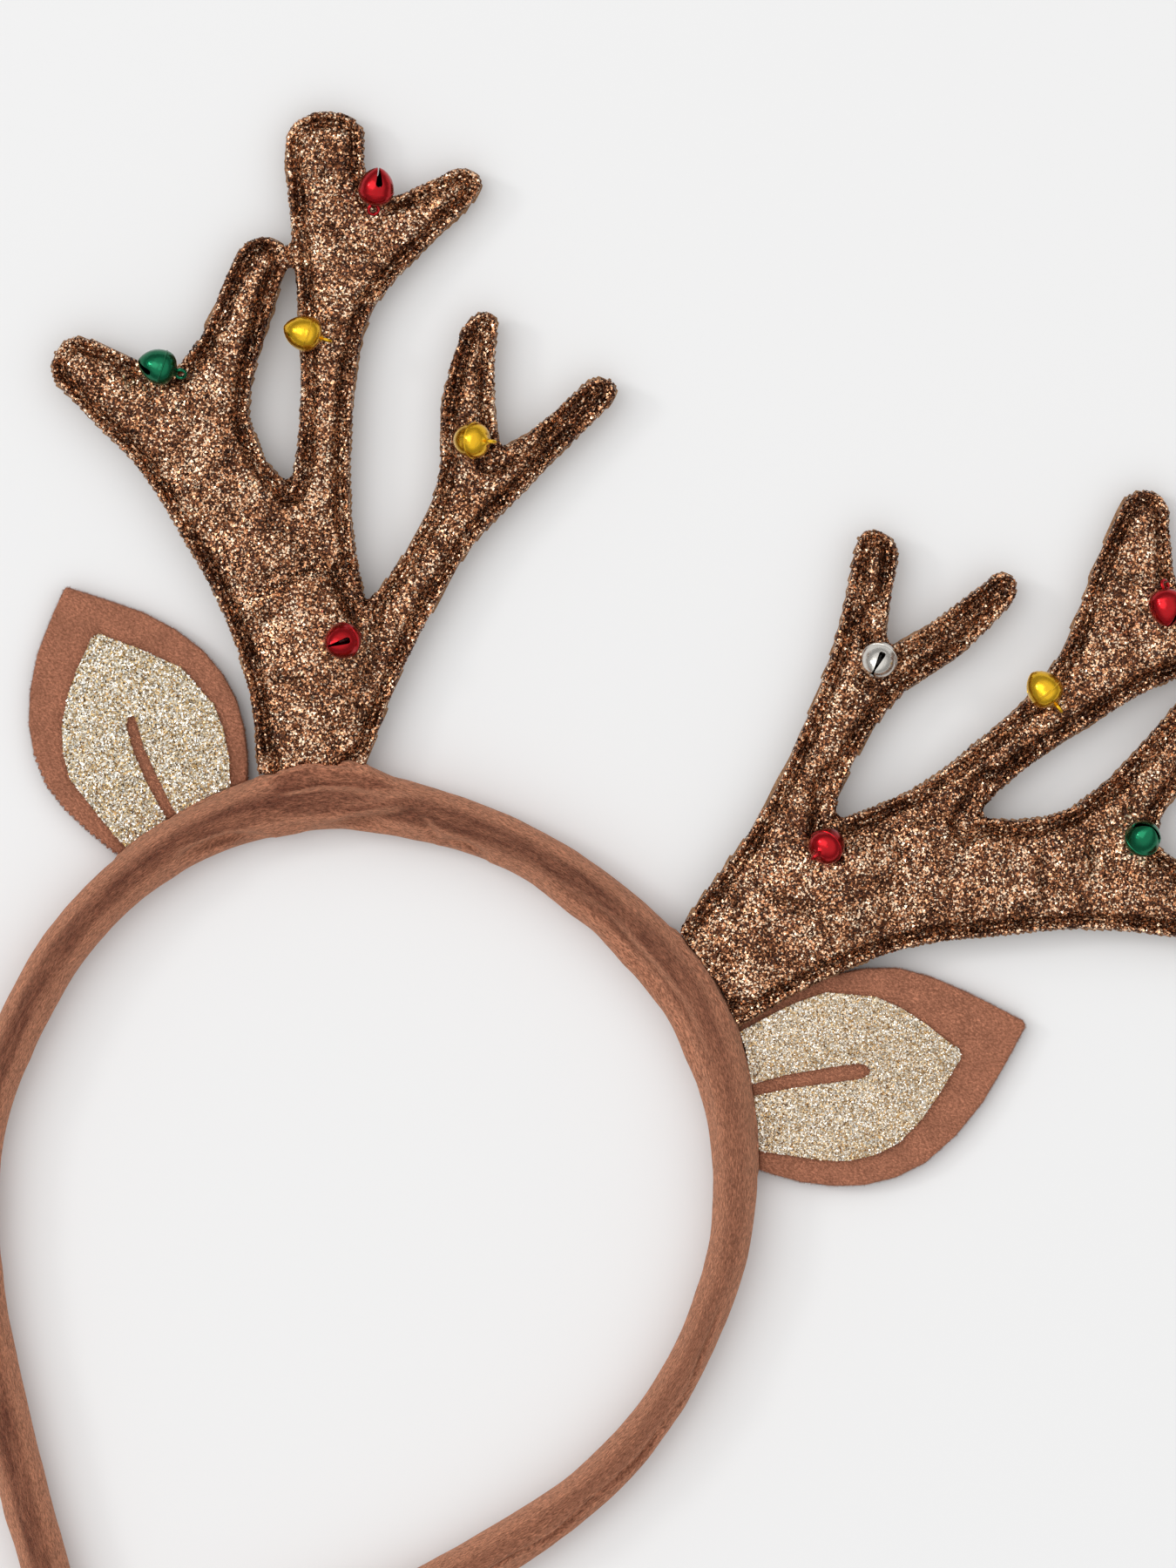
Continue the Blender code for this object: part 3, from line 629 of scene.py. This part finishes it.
def surface_samples(mesh, count, seed):
    """Random places on the upper side of a mesh, with the way that the surface faces there."""
    mesh.calc_loop_triangles()
    corners = np.empty(len(mesh.loop_triangles) * 3, dtype=np.int64)
    mesh.loop_triangles.foreach_get("vertices", corners)
    co = points_of(mesh)
    a, b, c = (co[corners.reshape(-1, 3)[:, k]] for k in range(3))
    cross = np.cross(b - a, c - a)
    area = np.linalg.norm(cross, axis=1)
    up = cross[:, 2] > FACING_UP * area
    rng = np.random.default_rng(seed)
    weights = np.where(up, area, 0.0)
    picked = rng.choice(len(area), size=count, p=weights / weights.sum())
    u, v = rng.random(count), rng.random(count)
    over = u + v > 1.0
    u[over], v[over] = 1.0 - u[over], 1.0 - v[over]
    places = a[picked] + (b - a)[picked] * u[:, None] + (c - a)[picked] * v[:, None]
    return places, cross[picked] / area[picked, None]


def flake_mesh(name, places, facing, size, lean, seed):
    """Small closed flakes: a three-cornered face with a root under it, each with its own lean and tone."""
    rng = np.random.default_rng(seed)
    count = len(places)
    axis = facing + rng.normal(0.0, lean, (count, 3))
    axis /= np.linalg.norm(axis, axis=1)[:, None]
    across = np.cross(axis, rng.normal(size=(count, 3)))
    across /= np.linalg.norm(across, axis=1)[:, None]
    other = np.cross(axis, across)
    radius = size * rng.uniform(0.5, 0.85, count)
    middle = places + facing * (rng.uniform(0.05, 0.3, count) * size)[:, None]
    corners = []
    for turn in (0.0, 2.0, 4.1):
        reach = radius * rng.uniform(0.75, 1.1, count)
        corners.append(middle + (across * math.cos(turn) + other * math.sin(turn)) * reach[:, None])
    corners.append(places - facing * (size * 0.35))
    co = np.stack(corners, axis=1).reshape(-1, 3)
    first = np.arange(count)[:, None] * 4
    sides = np.array([[0, 1, 2], [1, 0, 3], [2, 1, 3], [0, 2, 3]])
    faces = (first[:, :, None] + sides[None]).reshape(-1, 3)
    mesh = bpy.data.meshes.new(name)
    mesh.from_pydata(co.tolist(), [], faces.tolist())
    store(mesh, "tone", np.repeat(rng.random(count), 4))
    return mesh


def add_flakes(name, carrier, count, size, lean, seed, material, slot, clumps=0.0):
    """Glitter on the upper side of a piece, brighter in some patches than in others."""
    places, facing = surface_samples(carrier.data, count, seed)
    mesh = flake_mesh(name, places, facing, size, lean, seed + 1)
    tone = np.empty(len(mesh.vertices), dtype=np.float32)
    mesh.attributes["tone"].data.foreach_get("value", tone)
    patches = rumple(places, 5.5 * MM, 8) + 0.5 * rumple(places, 2.2 * MM, 9)
    tone = np.clip(tone + clumps * np.repeat(patches, 4), 0.0, 1.0)
    mesh.attributes["tone"].data.foreach_set("value", tone.astype(np.float32))
    obj = add_piece(name, mesh)
    dress(obj, material, slot)
    obj.data.shade_flat()


# Pieces

def make_band(settings):
    """The hoop: the solid rounded off, then its folds and the unevenness of wound velvet."""
    obj = copy_of("headband", "velvet_band")
    edit_all(obj, bpy.ops.mesh.tris_convert_to_quads, face_threshold=math.radians(60),
             shape_threshold=math.radians(60))
    modify(obj, "SUBSURF", levels=3, render_levels=3)
    co, facing = points_of(obj.data), normals_of(obj.data)
    along, across = hoop_places(co)
    raised = ramp_up(co[:, 2], 3.0 * MM, 3.0 * MM)
    uneven = rumple(np.c_[along, across * 5.0 * MM, co[:, 2] * 0.5], 9.0 * MM, 1)
    uneven += 0.5 * rumple(np.c_[along, across * 5.0 * MM, co[:, 2]], 3.5 * MM, 2)
    shift = uneven * settings.unevenness * raised
    for fold in VELVET_FOLDS:
        shift -= fold_depths(fold, co) * raised
    co += facing * shift[:, None]
    co += facing * room_to_neighbours(co)[:, None]
    move_points(obj.data, co)
    # Painted shade: how deep each place lies in a fold's valley, to darken the velvet there
    crease = sum(np.clip(fold_depths(fold, co, 0.6), 0.0, None) for fold in VELVET_FOLDS) / (1.4 * MM)
    store(obj.data, "along", along)
    store(obj.data, "across", across)
    # How level the surface is, for the velvet's painted crest shade
    store(obj.data, "level", normals_of(obj.data)[:, 2])
    store(obj.data, "crease", np.clip(crease * raised, 0.0, 1.0))
    dress(obj, velvet(settings), "headband", "headband")


def room_to_neighbours(co):
    """How far the plush can swell to meet the antlers and ears that it holds."""
    room = np.zeros(len(co))
    margin = 2 * MM
    for side in SIDES:
        for node in (f"antler_{side}", f"antler_backing_{side}", f"ear_{side}", f"ear_inner_{side}"):
            tree = solid_tree(node)
            low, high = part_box(node)
            near = np.flatnonzero((co[:, 0] > low.x - margin) & (co[:, 0] < high.x + margin)
                                  & (co[:, 1] > low.y - margin) & (co[:, 1] < high.y + margin))
            for i in near:
                gap = tree.find_nearest(Vector(co[i]), margin)[3]
                if gap is not None:
                    fade = 1.0 - min(1.0, max(0.0, (gap - 0.5 * MM) / (0.9 * MM)))
                    room[i] = max(room[i], min(gap - 0.08 * MM, 0.45 * MM) * fade)
    return room


def hoop_places(co):
    """How far along the band each place is from its crown, and how far across it, -1 inside to 1 outside."""
    low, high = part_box("headband")
    middle = (low + high) / 2
    x, y = co[:, 0] - middle.x, co[:, 1] - middle.y
    radius, turn = np.hypot(x, y), np.arctan2(x, y)
    bins = 360
    step = 2 * math.pi / bins
    place = np.clip(((turn + math.pi) / step).astype(int), 0, bins - 1)
    inner, outer = np.full(bins, 9.0), np.zeros(bins)
    np.minimum.at(inner, place, radius)
    np.maximum.at(outer, place, radius)
    filled = outer > 0.0
    turns = -math.pi + (np.arange(bins) + 0.5) * step
    centre = np.interp(turn, turns[filled], ((inner + outer) / 2)[filled])
    half = np.interp(turn, turns[filled], ((outer - inner) / 2)[filled])
    line = (inner + outer)[filled] / 2
    xs, ys = line * np.sin(turns[filled]), line * np.cos(turns[filled])
    run = np.concatenate([[0.0], np.cumsum(np.hypot(np.diff(xs), np.diff(ys)))])
    run -= np.interp(0.0, turns[filled], run)
    return np.interp(turn, turns[filled], run), np.clip((radius - centre) / half, -1.0, 1.0)


def fold_depths(fold, co, narrower=1.0):
    """How far a fold sinks each place, from the distance to its line and fading to its ends."""
    line = [PLANE_ORIGIN + Vector(point) * MM for point in fold.line]
    spans = np.concatenate([[0.0], np.cumsum([(b - a).length for a, b in zip(line, line[1:])])])
    nearest = np.full(len(co), 9.0)
    share = np.zeros(len(co))
    for i, (a, b) in enumerate(zip(line, line[1:])):
        run = b - a
        x, y = co[:, 0] - a.x, co[:, 1] - a.y
        t = np.clip((x * run.x + y * run.y) / run.length_squared, 0.0, 1.0)
        gap = np.hypot(x - run.x * t, y - run.y * t)
        closer = gap < nearest
        nearest[closer] = gap[closer]
        share[closer] = ((spans[i] + run.length * t) / spans[-1])[closer]
    fade = np.clip(np.sin(math.pi * share), 0.0, 1.0) ** 0.6
    return fold.depth * MM * fade * groove(nearest, fold.width * narrower * MM)


def make_antler(side, settings):
    """The front of an antler: stuffed, with its stitched channel and the glitter on it."""
    node = f"antler_{side}"
    obj = copy_of(node, f"padded_antler_{side}")
    sides = sides_of(node)
    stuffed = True
    if stuffed:
        stuff(obj, sides, settings)
    else:
        remesh(obj, 0.5 * MM)
    modify(obj, "SMOOTH", factor=0.5, iterations=3)
    shape_pad(obj, node, sides, stuffed, settings)
    dress(obj, glitter_cloth(f"brown_glitter_{side}", 0.26 * MM, BROWN_TONES, 0.55, "channel"), node, node)
    add_flakes(f"glitter_{side}", obj, settings.flakes, settings.flake, 0.26, 11 if side == "left" else 12,
               loose_flakes(f"brown_flakes_{side}", BROWN_TONES, 0.22), node, 0.45)


def shape_pad(obj, node, sides, stuffed, settings):
    """Press the channel, the creases and the places of the bells into the upper side of an antler, and keep
    the painted shade along the channel.
    """
    co = points_of(obj.data)
    inset = distances(sides, co)
    floor = floors(node, co)
    height = co[:, 2] - floor
    top = height > 1.2 * MM
    profile = pad_height(inset, height if stuffed else None, settings)
    creases = rumple(co, 7.0 * MM, 3) * 0.5 * MM + rumple(co, 2.6 * MM, 4) * 0.2 * MM
    profile += creases * ramp_up(inset, 0.6 * MM, 1.5 * MM)
    share = ramp_up(height, 1.2 * MM, 0.8 * MM) * top
    co[:, 2] = np.where(top, co[:, 2] * (1 - share) + (floor + profile) * share, co[:, 2])
    gather_under_bells(co, top)
    press_under_bells(co)
    move_points(obj.data, co)
    # Painted shade along the stitched channel, kept for the glitter cloth to darken it
    channel = groove(inset - settings.channel, 0.45 * MM) * top
    store(obj.data, "channel", channel * 0.4)


def stuff(obj, sides, settings):
    """Blow the fabric up as stuffing does, held round its edge and at the back and loose in front."""
    remesh(obj, 1.0 * MM)
    start = points_of(obj.data)
    inset = distances(sides, start)
    held = (normals_of(obj.data)[:, 2] < 0.5) | (inset < settings.channel)
    group = obj.vertex_groups.new(name="held")
    group.add(np.flatnonzero(held).tolist(), 1.0, "REPLACE")
    scene = bpy.context.scene
    scene.frame_set(1)
    activate(obj)
    cloth = obj.modifiers.new("stuffing", "CLOTH")
    cloth.settings.quality = 6
    cloth.settings.mass = 0.15
    cloth.settings.vertex_group_mass = "held"
    cloth.settings.use_pressure = True
    cloth.settings.uniform_pressure_force = settings.pressure
    cloth.settings.shrink_min = -settings.slack
    cloth.settings.bending_stiffness = 0.2
    cloth.settings.effector_weights.gravity = 0.0
    cloth.point_cache.frame_start = 1
    cloth.point_cache.frame_end = STUFFING_STEPS
    for step in range(STUFFING_STEPS):
        scene.frame_set(step + 1)
    bpy.ops.object.modifier_apply(modifier="stuffing")
    scene.frame_set(1)
    moved = points_of(obj.data) - start
    reach = np.linalg.norm(moved, axis=1)
    moved *= np.minimum(1.0, STUFFING_REACH / np.maximum(reach, 1e-9))[:, None]
    move_points(obj.data, start + moved)
    obj.vertex_groups.clear()
    modify(obj, "SUBSURF", levels=1, render_levels=1)


def pad_height(inset, stuffed, settings):
    """The height of the padded front over its back, a distance in from its edge."""
    round_off = np.clip(1.0 - inset / (0.9 * MM), 0.0, 1.0)
    rim = 1.4 * MM + 1.0 * MM * np.sqrt(1.0 - round_off ** 2)
    past = np.clip(inset - settings.channel, 0.0, None)
    if stuffed is None:
        stuffing = (settings.crown - 2.4 * MM) * (1.0 - np.exp(-past / (2.4 * MM)))
    else:
        stuffing = (stuffed - 2.4 * MM) * ramp_up(past, 0.0, 1.5 * MM)
    return rim + stuffing - settings.channel_depth * groove(inset - settings.channel, 0.85 * MM)


def press_under_bells(co):
    """Keep the stuffing clear of the bells that sit on it."""
    for bell in BELLS:
        middle = bell_middle(bell, loop_way_of(bell))
        gap = np.hypot(co[:, 0] - middle.x, co[:, 1] - middle.y)
        reach = BELL_RADIUS + 0.5 * MM
        lowest = middle.z - np.sqrt(np.clip(reach ** 2 - gap ** 2, 0.0, None))
        under = gap < reach
        co[under, 2] = np.minimum(co[under, 2], lowest[under] + 0.25 * MM)


def gather_under_bells(co, top):
    """Draw the fabric up to the lowest point of each bell, as the thread does."""
    for bell in BELLS:
        solid = points_of(frame["nodes"][bell.node].data)
        lowest = solid[:, 2].min()
        foot = solid[solid[:, 2] < lowest + 0.3 * MM].mean(axis=0)
        gap = np.hypot(co[:, 0] - foot[0], co[:, 1] - foot[1])
        share = np.clip(1.0 - (gap / (3.8 * MM)) ** 2, 0.0, 1.0) ** 1.5
        co[:, 2] += np.clip(lowest - co[:, 2], 0.0, 1.9 * MM) * share * top


def make_backing(side, settings):
    """The felt behind an antler, cut by hand a little larger than the front."""
    node = f"antler_backing_{side}"
    obj = copy_of(node, f"backing_felt_{side}")
    remesh(obj, 0.6 * MM)
    co, facing = points_of(obj.data), normals_of(obj.data)
    spread = (0.25 * MM + rumple(co, 7.0 * MM, 5) * 0.35 * MM) * near_edge(node, co, 0.8 * MM)
    co[:, :2] += facing[:, :2] * np.clip(spread, 0.0, None)[:, None]
    move_points(obj.data, co)
    dress(obj, felt(f"tan_felt_{side}", settings.felt, 3.0 * MM), node, node)


def make_ear(side, settings):
    """The felt leaf of an ear, softened at its edges and a little wavy, with a fuzzy rim."""
    node = f"ear_{side}"
    obj = copy_of(node, f"ear_felt_{side}")
    remesh(obj, 0.4 * MM)
    modify(obj, "SMOOTH", factor=0.5, iterations=4)
    co, facing = points_of(obj.data), normals_of(obj.data)
    co[:, 2] += rumple(co, 12.0 * MM, 6) * 0.2 * MM
    if side == "left":
        co[:, :2] += facing[:, :2] * pinked_edge(node, co)[:, None]
    move_points(obj.data, co)
    dress(obj, felt(f"ear_felt_{side}", settings.felt, 4.0 * MM), node, node)
    add_fuzz(f"ear_fuzz_{side}", node, settings)


def pinked_edge(node, co):
    """The small scallops of the left ear's lower edge, as a distance outward for each place."""
    start, end = (PLANE_ORIGIN + Vector(point) * MM for point in PINKED_EDGE)
    run = end - start
    x, y = co[:, 0] - start.x, co[:, 1] - start.y
    along = (x * run.x + y * run.y) / run.length
    apart = np.abs(x * run.y - y * run.x) / run.length
    inside = (along > 0.0) & (along < run.length) & (apart < 6.0 * MM)
    scallops = 0.3 * MM * np.cos(2 * math.pi * along / (1.2 * MM))
    return np.where(inside, near_edge(node, co, 0.7 * MM) * scallops, 0.0)


def add_fuzz(name, node, settings):
    """Fine fibres standing out of the cut edge of the felt."""
    mesh = frame["nodes"][node].data
    band = solid_tree("headband")
    walls = [p for p in mesh.polygons
             if abs(p.normal.z) < UPRIGHT and band.find_nearest(p.center)[3] > CLEAR_OF_BAND]
    rng = np.random.default_rng(21)
    areas = np.array([p.area for p in walls])
    co, faces = [], []
    for index in rng.choice(len(walls), size=settings.fibres, p=areas / areas.sum()):
        corners = [mesh.vertices[i].co for i in walls[index].vertices[:3]]
        u, v = sorted(rng.random(2))
        root = corners[0] * u + corners[1] * (v - u) + corners[2] * (1 - v)
        away = (walls[index].normal + Vector(rng.normal(0.0, 0.55, 3))).normalized()
        tip = root + away * settings.fuzz * rng.uniform(0.35, 1.0)
        wide = away.orthogonal().normalized() * 0.025 * MM
        other = away.cross(wide)
        first = len(co)
        start = root - away * 0.2 * MM
        co += [start + wide, start - wide * 0.5 + other, start - wide * 0.5 - other, tip]
        faces += [[first, first + 2, first + 1], [first, first + 1, first + 3],
                  [first + 1, first + 2, first + 3], [first + 2, first, first + 3]]
    fuzz = bpy.data.meshes.new(name)
    fuzz.from_pydata([tuple(point) for point in co], [], faces)
    dress(add_piece(name, fuzz), felt(f"{name}_fibre", settings.felt, 3.0 * MM), node)


def make_ear_sheet(side, settings):
    """The glitter sheet laid on an ear: coarse and pale on the left, fine and golden on the right."""
    node = f"ear_inner_{side}"
    tones, finer = (PALE_TONES, 1.0) if side == "left" else (GOLDEN_TONES, 0.82)
    obj = copy_of(node, f"ear_glitter_{side}")
    modify(obj, "BEVEL", width=0.12 * MM, segments=2, limit_method="ANGLE", angle_limit=math.radians(60))
    dress(obj, glitter_cloth(f"pale_glitter_{side}", 0.26 * MM, tones, 0.9), node, node)
    add_flakes(f"ear_flakes_{side}", obj, int(settings.flakes / finer ** 2), settings.flake * finer, 0.35,
               31 if side == "left" else 32, loose_flakes(f"pale_flakes_{side}", tones, 0.28), node)


def pull_rings(rows):
    """Draw the open ring at the flange out along the bell's axis and close it at the end."""
    bpy.ops.object.mode_set(mode="EDIT")
    bpy.ops.mesh.select_all(action="DESELECT")
    bpy.ops.object.mode_set(mode="OBJECT")
    for vertex in bpy.context.object.data.vertices:
        vertex.select = abs(vertex.co.z) < 0.01 * MM
    bpy.ops.object.mode_set(mode="EDIT")
    radius, height = BELL_FLANGE, 0.0
    for next_radius, next_height in rows:
        rise = (next_height - height) * MM
        bpy.ops.mesh.extrude_region_move(TRANSFORM_OT_translate={"value": (0.0, 0.0, rise)})
        size = next_radius / radius
        bpy.ops.transform.resize(value=(size, size, 1.0), center_override=(0.0, 0.0, next_height * MM))
        radius, height = next_radius, next_height
    rise = math.copysign(0.12 * MM, height)
    bpy.ops.mesh.extrude_region_move(TRANSFORM_OT_translate={"value": (0.0, 0.0, rise)})
    bpy.ops.mesh.merge(type="CENTER")
    bpy.ops.object.mode_set(mode="OBJECT")


def bell_pattern():
    """One bell, slotted side up: pulled out ring by ring, hollowed, slotted and given its loop."""
    shell = basic_shape(bpy.ops.mesh.primitive_circle_add, vertices=48, radius=BELL_FLANGE * MM)
    for rows in (BELL_FRONT, BELL_BACK):
        pull_rings(rows)
    edit_all(shell, bpy.ops.mesh.normals_make_consistent, inside=False)
    modify(shell, "SOLIDIFY", thickness=BELL_WALL, offset=-1.0)
    cutter = slot_cutter()
    modify(shell, "BOOLEAN", operation="DIFFERENCE", solver="EXACT", object=cutter)
    bpy.data.objects.remove(cutter, do_unlink=True)
    modify(shell, "BEVEL", width=0.05 * MM, segments=2, limit_method="ANGLE", angle_limit=math.radians(50))
    # Where the shell faces inward, for the painted shade inside the bell
    outward = points_of(shell.data) - np.array([0.0, 0.0, 0.8 * MM])
    outward /= np.linalg.norm(outward, axis=1)[:, None]
    facing = (outward * normals_of(shell.data)).sum(axis=1)
    store(shell.data, "inside", np.clip(0.5 - facing * 1.6, 0.0, 1.0))
    loop = basic_shape(bpy.ops.mesh.primitive_torus_add, major_radius=LOOP_RADIUS, minor_radius=LOOP_WIRE,
                       major_segments=32, minor_segments=10, location=(0.0, 0.0, LOOP_MIDDLE),
                       rotation=(0.0, math.pi / 2, 0.0))
    activate(shell)
    loop.select_set(True)
    bpy.ops.object.join()
    return shell


def slot_cutter():
    """The shape cut through the shell: narrow at the pole, wide and round at the slot's ends."""
    cutter = basic_shape(bpy.ops.mesh.primitive_cube_add, size=1.0)
    cutter.scale = (CUTTER_LENGTH, 2 * CUTTER_HALF, CUTTER_DEPTH)
    cutter.location = (0.0, 0.0, CUTTER_TOP - CUTTER_DEPTH / 2)
    bpy.ops.object.transform_apply(location=True, rotation=False, scale=True)
    modify(cutter, "SUBSURF", subdivision_type="SIMPLE", levels=4, render_levels=4)
    co = points_of(cutter.data)
    side = np.abs(co[:, 1]) / CUTTER_HALF
    half = SLOT_HALF + SLOT_FLARE * (np.abs(co[:, 0]) / BELL_RADIUS) ** 1.5
    co[:, 1] = np.sign(co[:, 1]) * side * half
    depth = (CUTTER_TOP - co[:, 2]) / CUTTER_DEPTH
    co[:, 2] += depth * half * (1.0 - np.sqrt(np.clip(1.0 - side ** 2, 0.0, 1.0)))
    move_points(cutter.data, co)
    return cutter


def loop_way_of(bell):
    """The way that a bell's loop points."""
    heading, pitch = math.radians(bell.heading), math.radians(bell.pitch)
    level = math.cos(pitch)
    return Vector((math.cos(heading) * level, math.sin(heading) * level, -math.sin(pitch)))


def bell_middle(bell, loop_way):
    """The middle of a bell's shell, found from its solid and the way that its loop points."""
    mesh = frame["nodes"][bell.node].data
    across = loop_way.orthogonal().normalized()
    middle = Vector()
    for axis in (across, loop_way.cross(across)):
        reach = [vertex.co.dot(axis) for vertex in mesh.vertices]
        middle += axis * (min(reach) + max(reach)) / 2
    return middle + loop_way * (min(vertex.co.dot(loop_way) for vertex in mesh.vertices) + BELL_POLE)


def make_bells(settings):
    """Every bell where its solid is, and the thread that holds its loop down."""
    pattern = bell_pattern()
    finishes = {word: coated_metal(f"{word}_metal", getattr(settings, word)) for word in
                ("red", "green", "gold", "silver")}
    thread = sewing_thread(settings.thread)
    for bell in BELLS:
        loop_way = loop_way_of(bell)
        turn = (-loop_way).to_track_quat("Z", "Y") @ Quaternion((0.0, 0.0, 1.0), math.radians(bell.roll))
        flange = bell_middle(bell, loop_way) + loop_way * BELL_SHIFT
        obj = add_piece(f"jingle_{bell.node}", pattern.data.copy())
        obj.data.transform(turn.to_matrix().to_4x4())
        obj.data.transform(Matrix.Translation(flange))
        dress(obj, finishes[bell.finish], f"bell_{bell.finish}", bell.node)
        activate(obj)
        bpy.ops.object.shade_smooth_by_angle(angle=math.radians(35))
        eye = flange + loop_way * (LOOP_EYE - LOOP_MIDDLE)
        add_stitch(bell, eye, turn @ Vector((1.0, 0.0, 0.0)), thread)
    bpy.data.objects.remove(pattern, do_unlink=True)


def add_stitch(bell, eye, loop_axis, material):
    """A turn of thread through the eye of a bell's loop and down into the fabric nearest to it."""
    side = bell.node.split("_")[1]
    fabric = bpy.data.objects[f"padded_antler_{side}"].data
    down = tree_of(fabric).find_nearest(eye)[0] - eye
    if down.length < SHORTEST_STITCH:
        down = Vector((0.0, 0.0, -SHORTEST_STITCH))
    obj = basic_shape(bpy.ops.mesh.primitive_torus_add, major_radius=STITCH_RADIUS,
                      minor_radius=STITCH_THREAD, major_segments=20, minor_segments=6)
    obj.name = f"stitch_{bell.node}"
    co = points_of(obj.data)
    co[:, 0] += np.where(co[:, 0] > 0.01 * MM, down.length, 0.0)
    move_points(obj.data, co)
    x_way = down.normalized()
    z_way = x_way.cross(loop_axis.cross(x_way) if abs(x_way.dot(loop_axis)) < 0.9 else x_way.orthogonal())
    turn = Matrix((x_way, z_way.cross(x_way).normalized(), z_way.normalized())).transposed()
    obj.data.transform(Matrix.Translation(eye) @ turn.to_4x4())
    dress(obj, material, f"antler_{side}")


def make_stage(settings):
    """The floor, soft light from the upper left of the picture, and the camera over the headband."""
    floor = basic_shape(bpy.ops.mesh.primitive_plane_add, size=FLOOR_SIZE, location=(0.0, 0.0, FLOOR_HEIGHT))
    floor.name = "floor"
    paint = Finish("pale_floor", Base_Color=tuple(settings.floor), Roughness=0.95)
    floor.data.materials.append(paint.material)

    target = PLANE_ORIGIN + Vector(settings.view_middle) * MM
    right = Vector((math.cos(settings.turn), math.sin(settings.turn), 0.0))
    up = Vector((-math.sin(settings.turn), math.cos(settings.turn), 0.0))
    centre = Vector((target.x, target.y, 0.0))
    for light in LIGHTS:
        source = centre + up * light.up + right * light.right + Vector((0.0, 0.0, light.height))
        add_light(light.name, source, centre, light.size, settings.key * light.share)
    light_room(settings)
    add_camera(settings, centre)


def add_camera(settings, centre):
    """The camera high over a point, seeing the picture's height of floor."""
    data = bpy.data.cameras.new("overhead")
    data.sensor_width = 36.0
    data.lens = data.sensor_width * settings.camera_height / settings.view_height
    data.clip_end = 20.0
    camera = bpy.data.objects.new("overhead", data)
    bpy.context.scene.collection.objects.link(camera)
    camera.location = centre + Vector((0.0, 0.0, settings.camera_height))
    camera.rotation_euler = (0.0, 0.0, settings.turn)
    bpy.context.scene.camera = camera
    bpy.context.scene.view_settings.view_transform = "Standard"


def light_room(settings):
    """Dim walls under a pale ceiling, so that a shiny part shows where it faces."""
    world = bpy.data.worlds.new("studio")
    bpy.context.scene.world = world
    world.use_nodes = True
    tree = world.node_tree
    way = tree.nodes.new("ShaderNodeTexCoord").outputs["Generated"]
    split = tree.nodes.new("ShaderNodeSeparateXYZ")
    rise = tree.nodes.new("ShaderNodeMapRange")
    rise.interpolation_type = "SMOOTHSTEP"
    for name, value in {"From Min": 0.3, "From Max": 0.8, "To Min": settings.walls,
                        "To Max": settings.ceiling}.items():
        rise.inputs[name].default_value = value
    tree.links.new(way, split.inputs["Vector"])
    tree.links.new(split.outputs["Z"], rise.inputs["Value"])
    tree.links.new(rise.outputs["Result"], tree.nodes["Background"].inputs["Strength"])
    tree.nodes["Background"].inputs["Color"].default_value = (1.0, 1.0, 1.0, 1.0)


def add_light(name, place, target, size, power):
    """A square soft light aimed at the headband."""
    data = bpy.data.lights.new(name, "AREA")
    data.size = size
    data.energy = power
    light = bpy.data.objects.new(name, data)
    bpy.context.scene.collection.objects.link(light)
    light.location = place
    light.rotation_euler = (target - place).to_track_quat("-Z", "Y").to_euler()


# Operators and panel

class HEADBAND_OT_band(bpy.types.Operator):
    """Build the velvet band"""
    bl_idname = "headband.band"
    bl_label = "Velvet Band"

    def execute(self, context):
        make_band(context.scene.headband.band)
        return {"FINISHED"}


class HEADBAND_OT_antlers(bpy.types.Operator):
    """Build the padded antlers, their glitter and the felt behind them"""
    bl_idname = "headband.antlers"
    bl_label = "Glitter Antlers"

    def execute(self, context):
        for side in SIDES:
            make_antler(side, context.scene.headband.antlers)
            make_backing(side, context.scene.headband.antlers)
        return {"FINISHED"}


class HEADBAND_OT_ears(bpy.types.Operator):
    """Build the felt ears and the glitter sheets on them"""
    bl_idname = "headband.ears"
    bl_label = "Ears"

    def execute(self, context):
        for side in SIDES:
            make_ear(side, context.scene.headband.ears)
            make_ear_sheet(side, context.scene.headband.ears)
        return {"FINISHED"}


class HEADBAND_OT_bells(bpy.types.Operator):
    """Build the jingle bells and sew them on"""
    bl_idname = "headband.bells"
    bl_label = "Jingle Bells"

    def execute(self, context):
        make_bells(context.scene.headband.bells)
        return {"FINISHED"}


class HEADBAND_OT_stage(bpy.types.Operator):
    """Lay the floor, light it softly and set up the camera"""
    bl_idname = "headband.stage"
    bl_label = "Stage"

    def execute(self, context):
        make_stage(context.scene.headband.stage)
        return {"FINISHED"}


OPERATORS = (HEADBAND_OT_band, HEADBAND_OT_antlers, HEADBAND_OT_ears, HEADBAND_OT_bells, HEADBAND_OT_stage)


class HEADBAND_PT_panel(bpy.types.Panel):
    """The headband's steps in the 3D view's sidebar"""
    bl_label = "Reindeer Antler Headband"
    bl_space_type = "VIEW_3D"
    bl_region_type = "UI"
    bl_category = "Headband"

    def draw(self, context):
        for operator in OPERATORS:
            self.layout.operator(operator.bl_idname)
        for group in ("band", "antlers", "ears", "bells", "stage"):
            settings = getattr(context.scene.headband, group)
            box = self.layout.box()
            for name in settings.__annotations__:
                box.prop(settings, name)


CLASSES = (BandSettings, AntlerSettings, EarSettings, BellSettings, StageSettings, HeadbandSettings,
           *OPERATORS, HEADBAND_PT_panel)


def register():
    """Add the settings, the operators and the panel."""
    for item in CLASSES:
        bpy.utils.register_class(item)
    bpy.types.Scene.headband = PointerProperty(type=HeadbandSettings)


def unregister():
    """Take them away again."""
    del bpy.types.Scene.headband
    for item in reversed(CLASSES):
        bpy.utils.unregister_class(item)


def main():
    """Add the settings and build the headband."""
    register()
    bpy.ops.headband.band()
    bpy.ops.headband.antlers()
    bpy.ops.headband.ears()
    bpy.ops.headband.bells()
    bpy.ops.headband.stage()


if __name__ == "__main__":
    main()
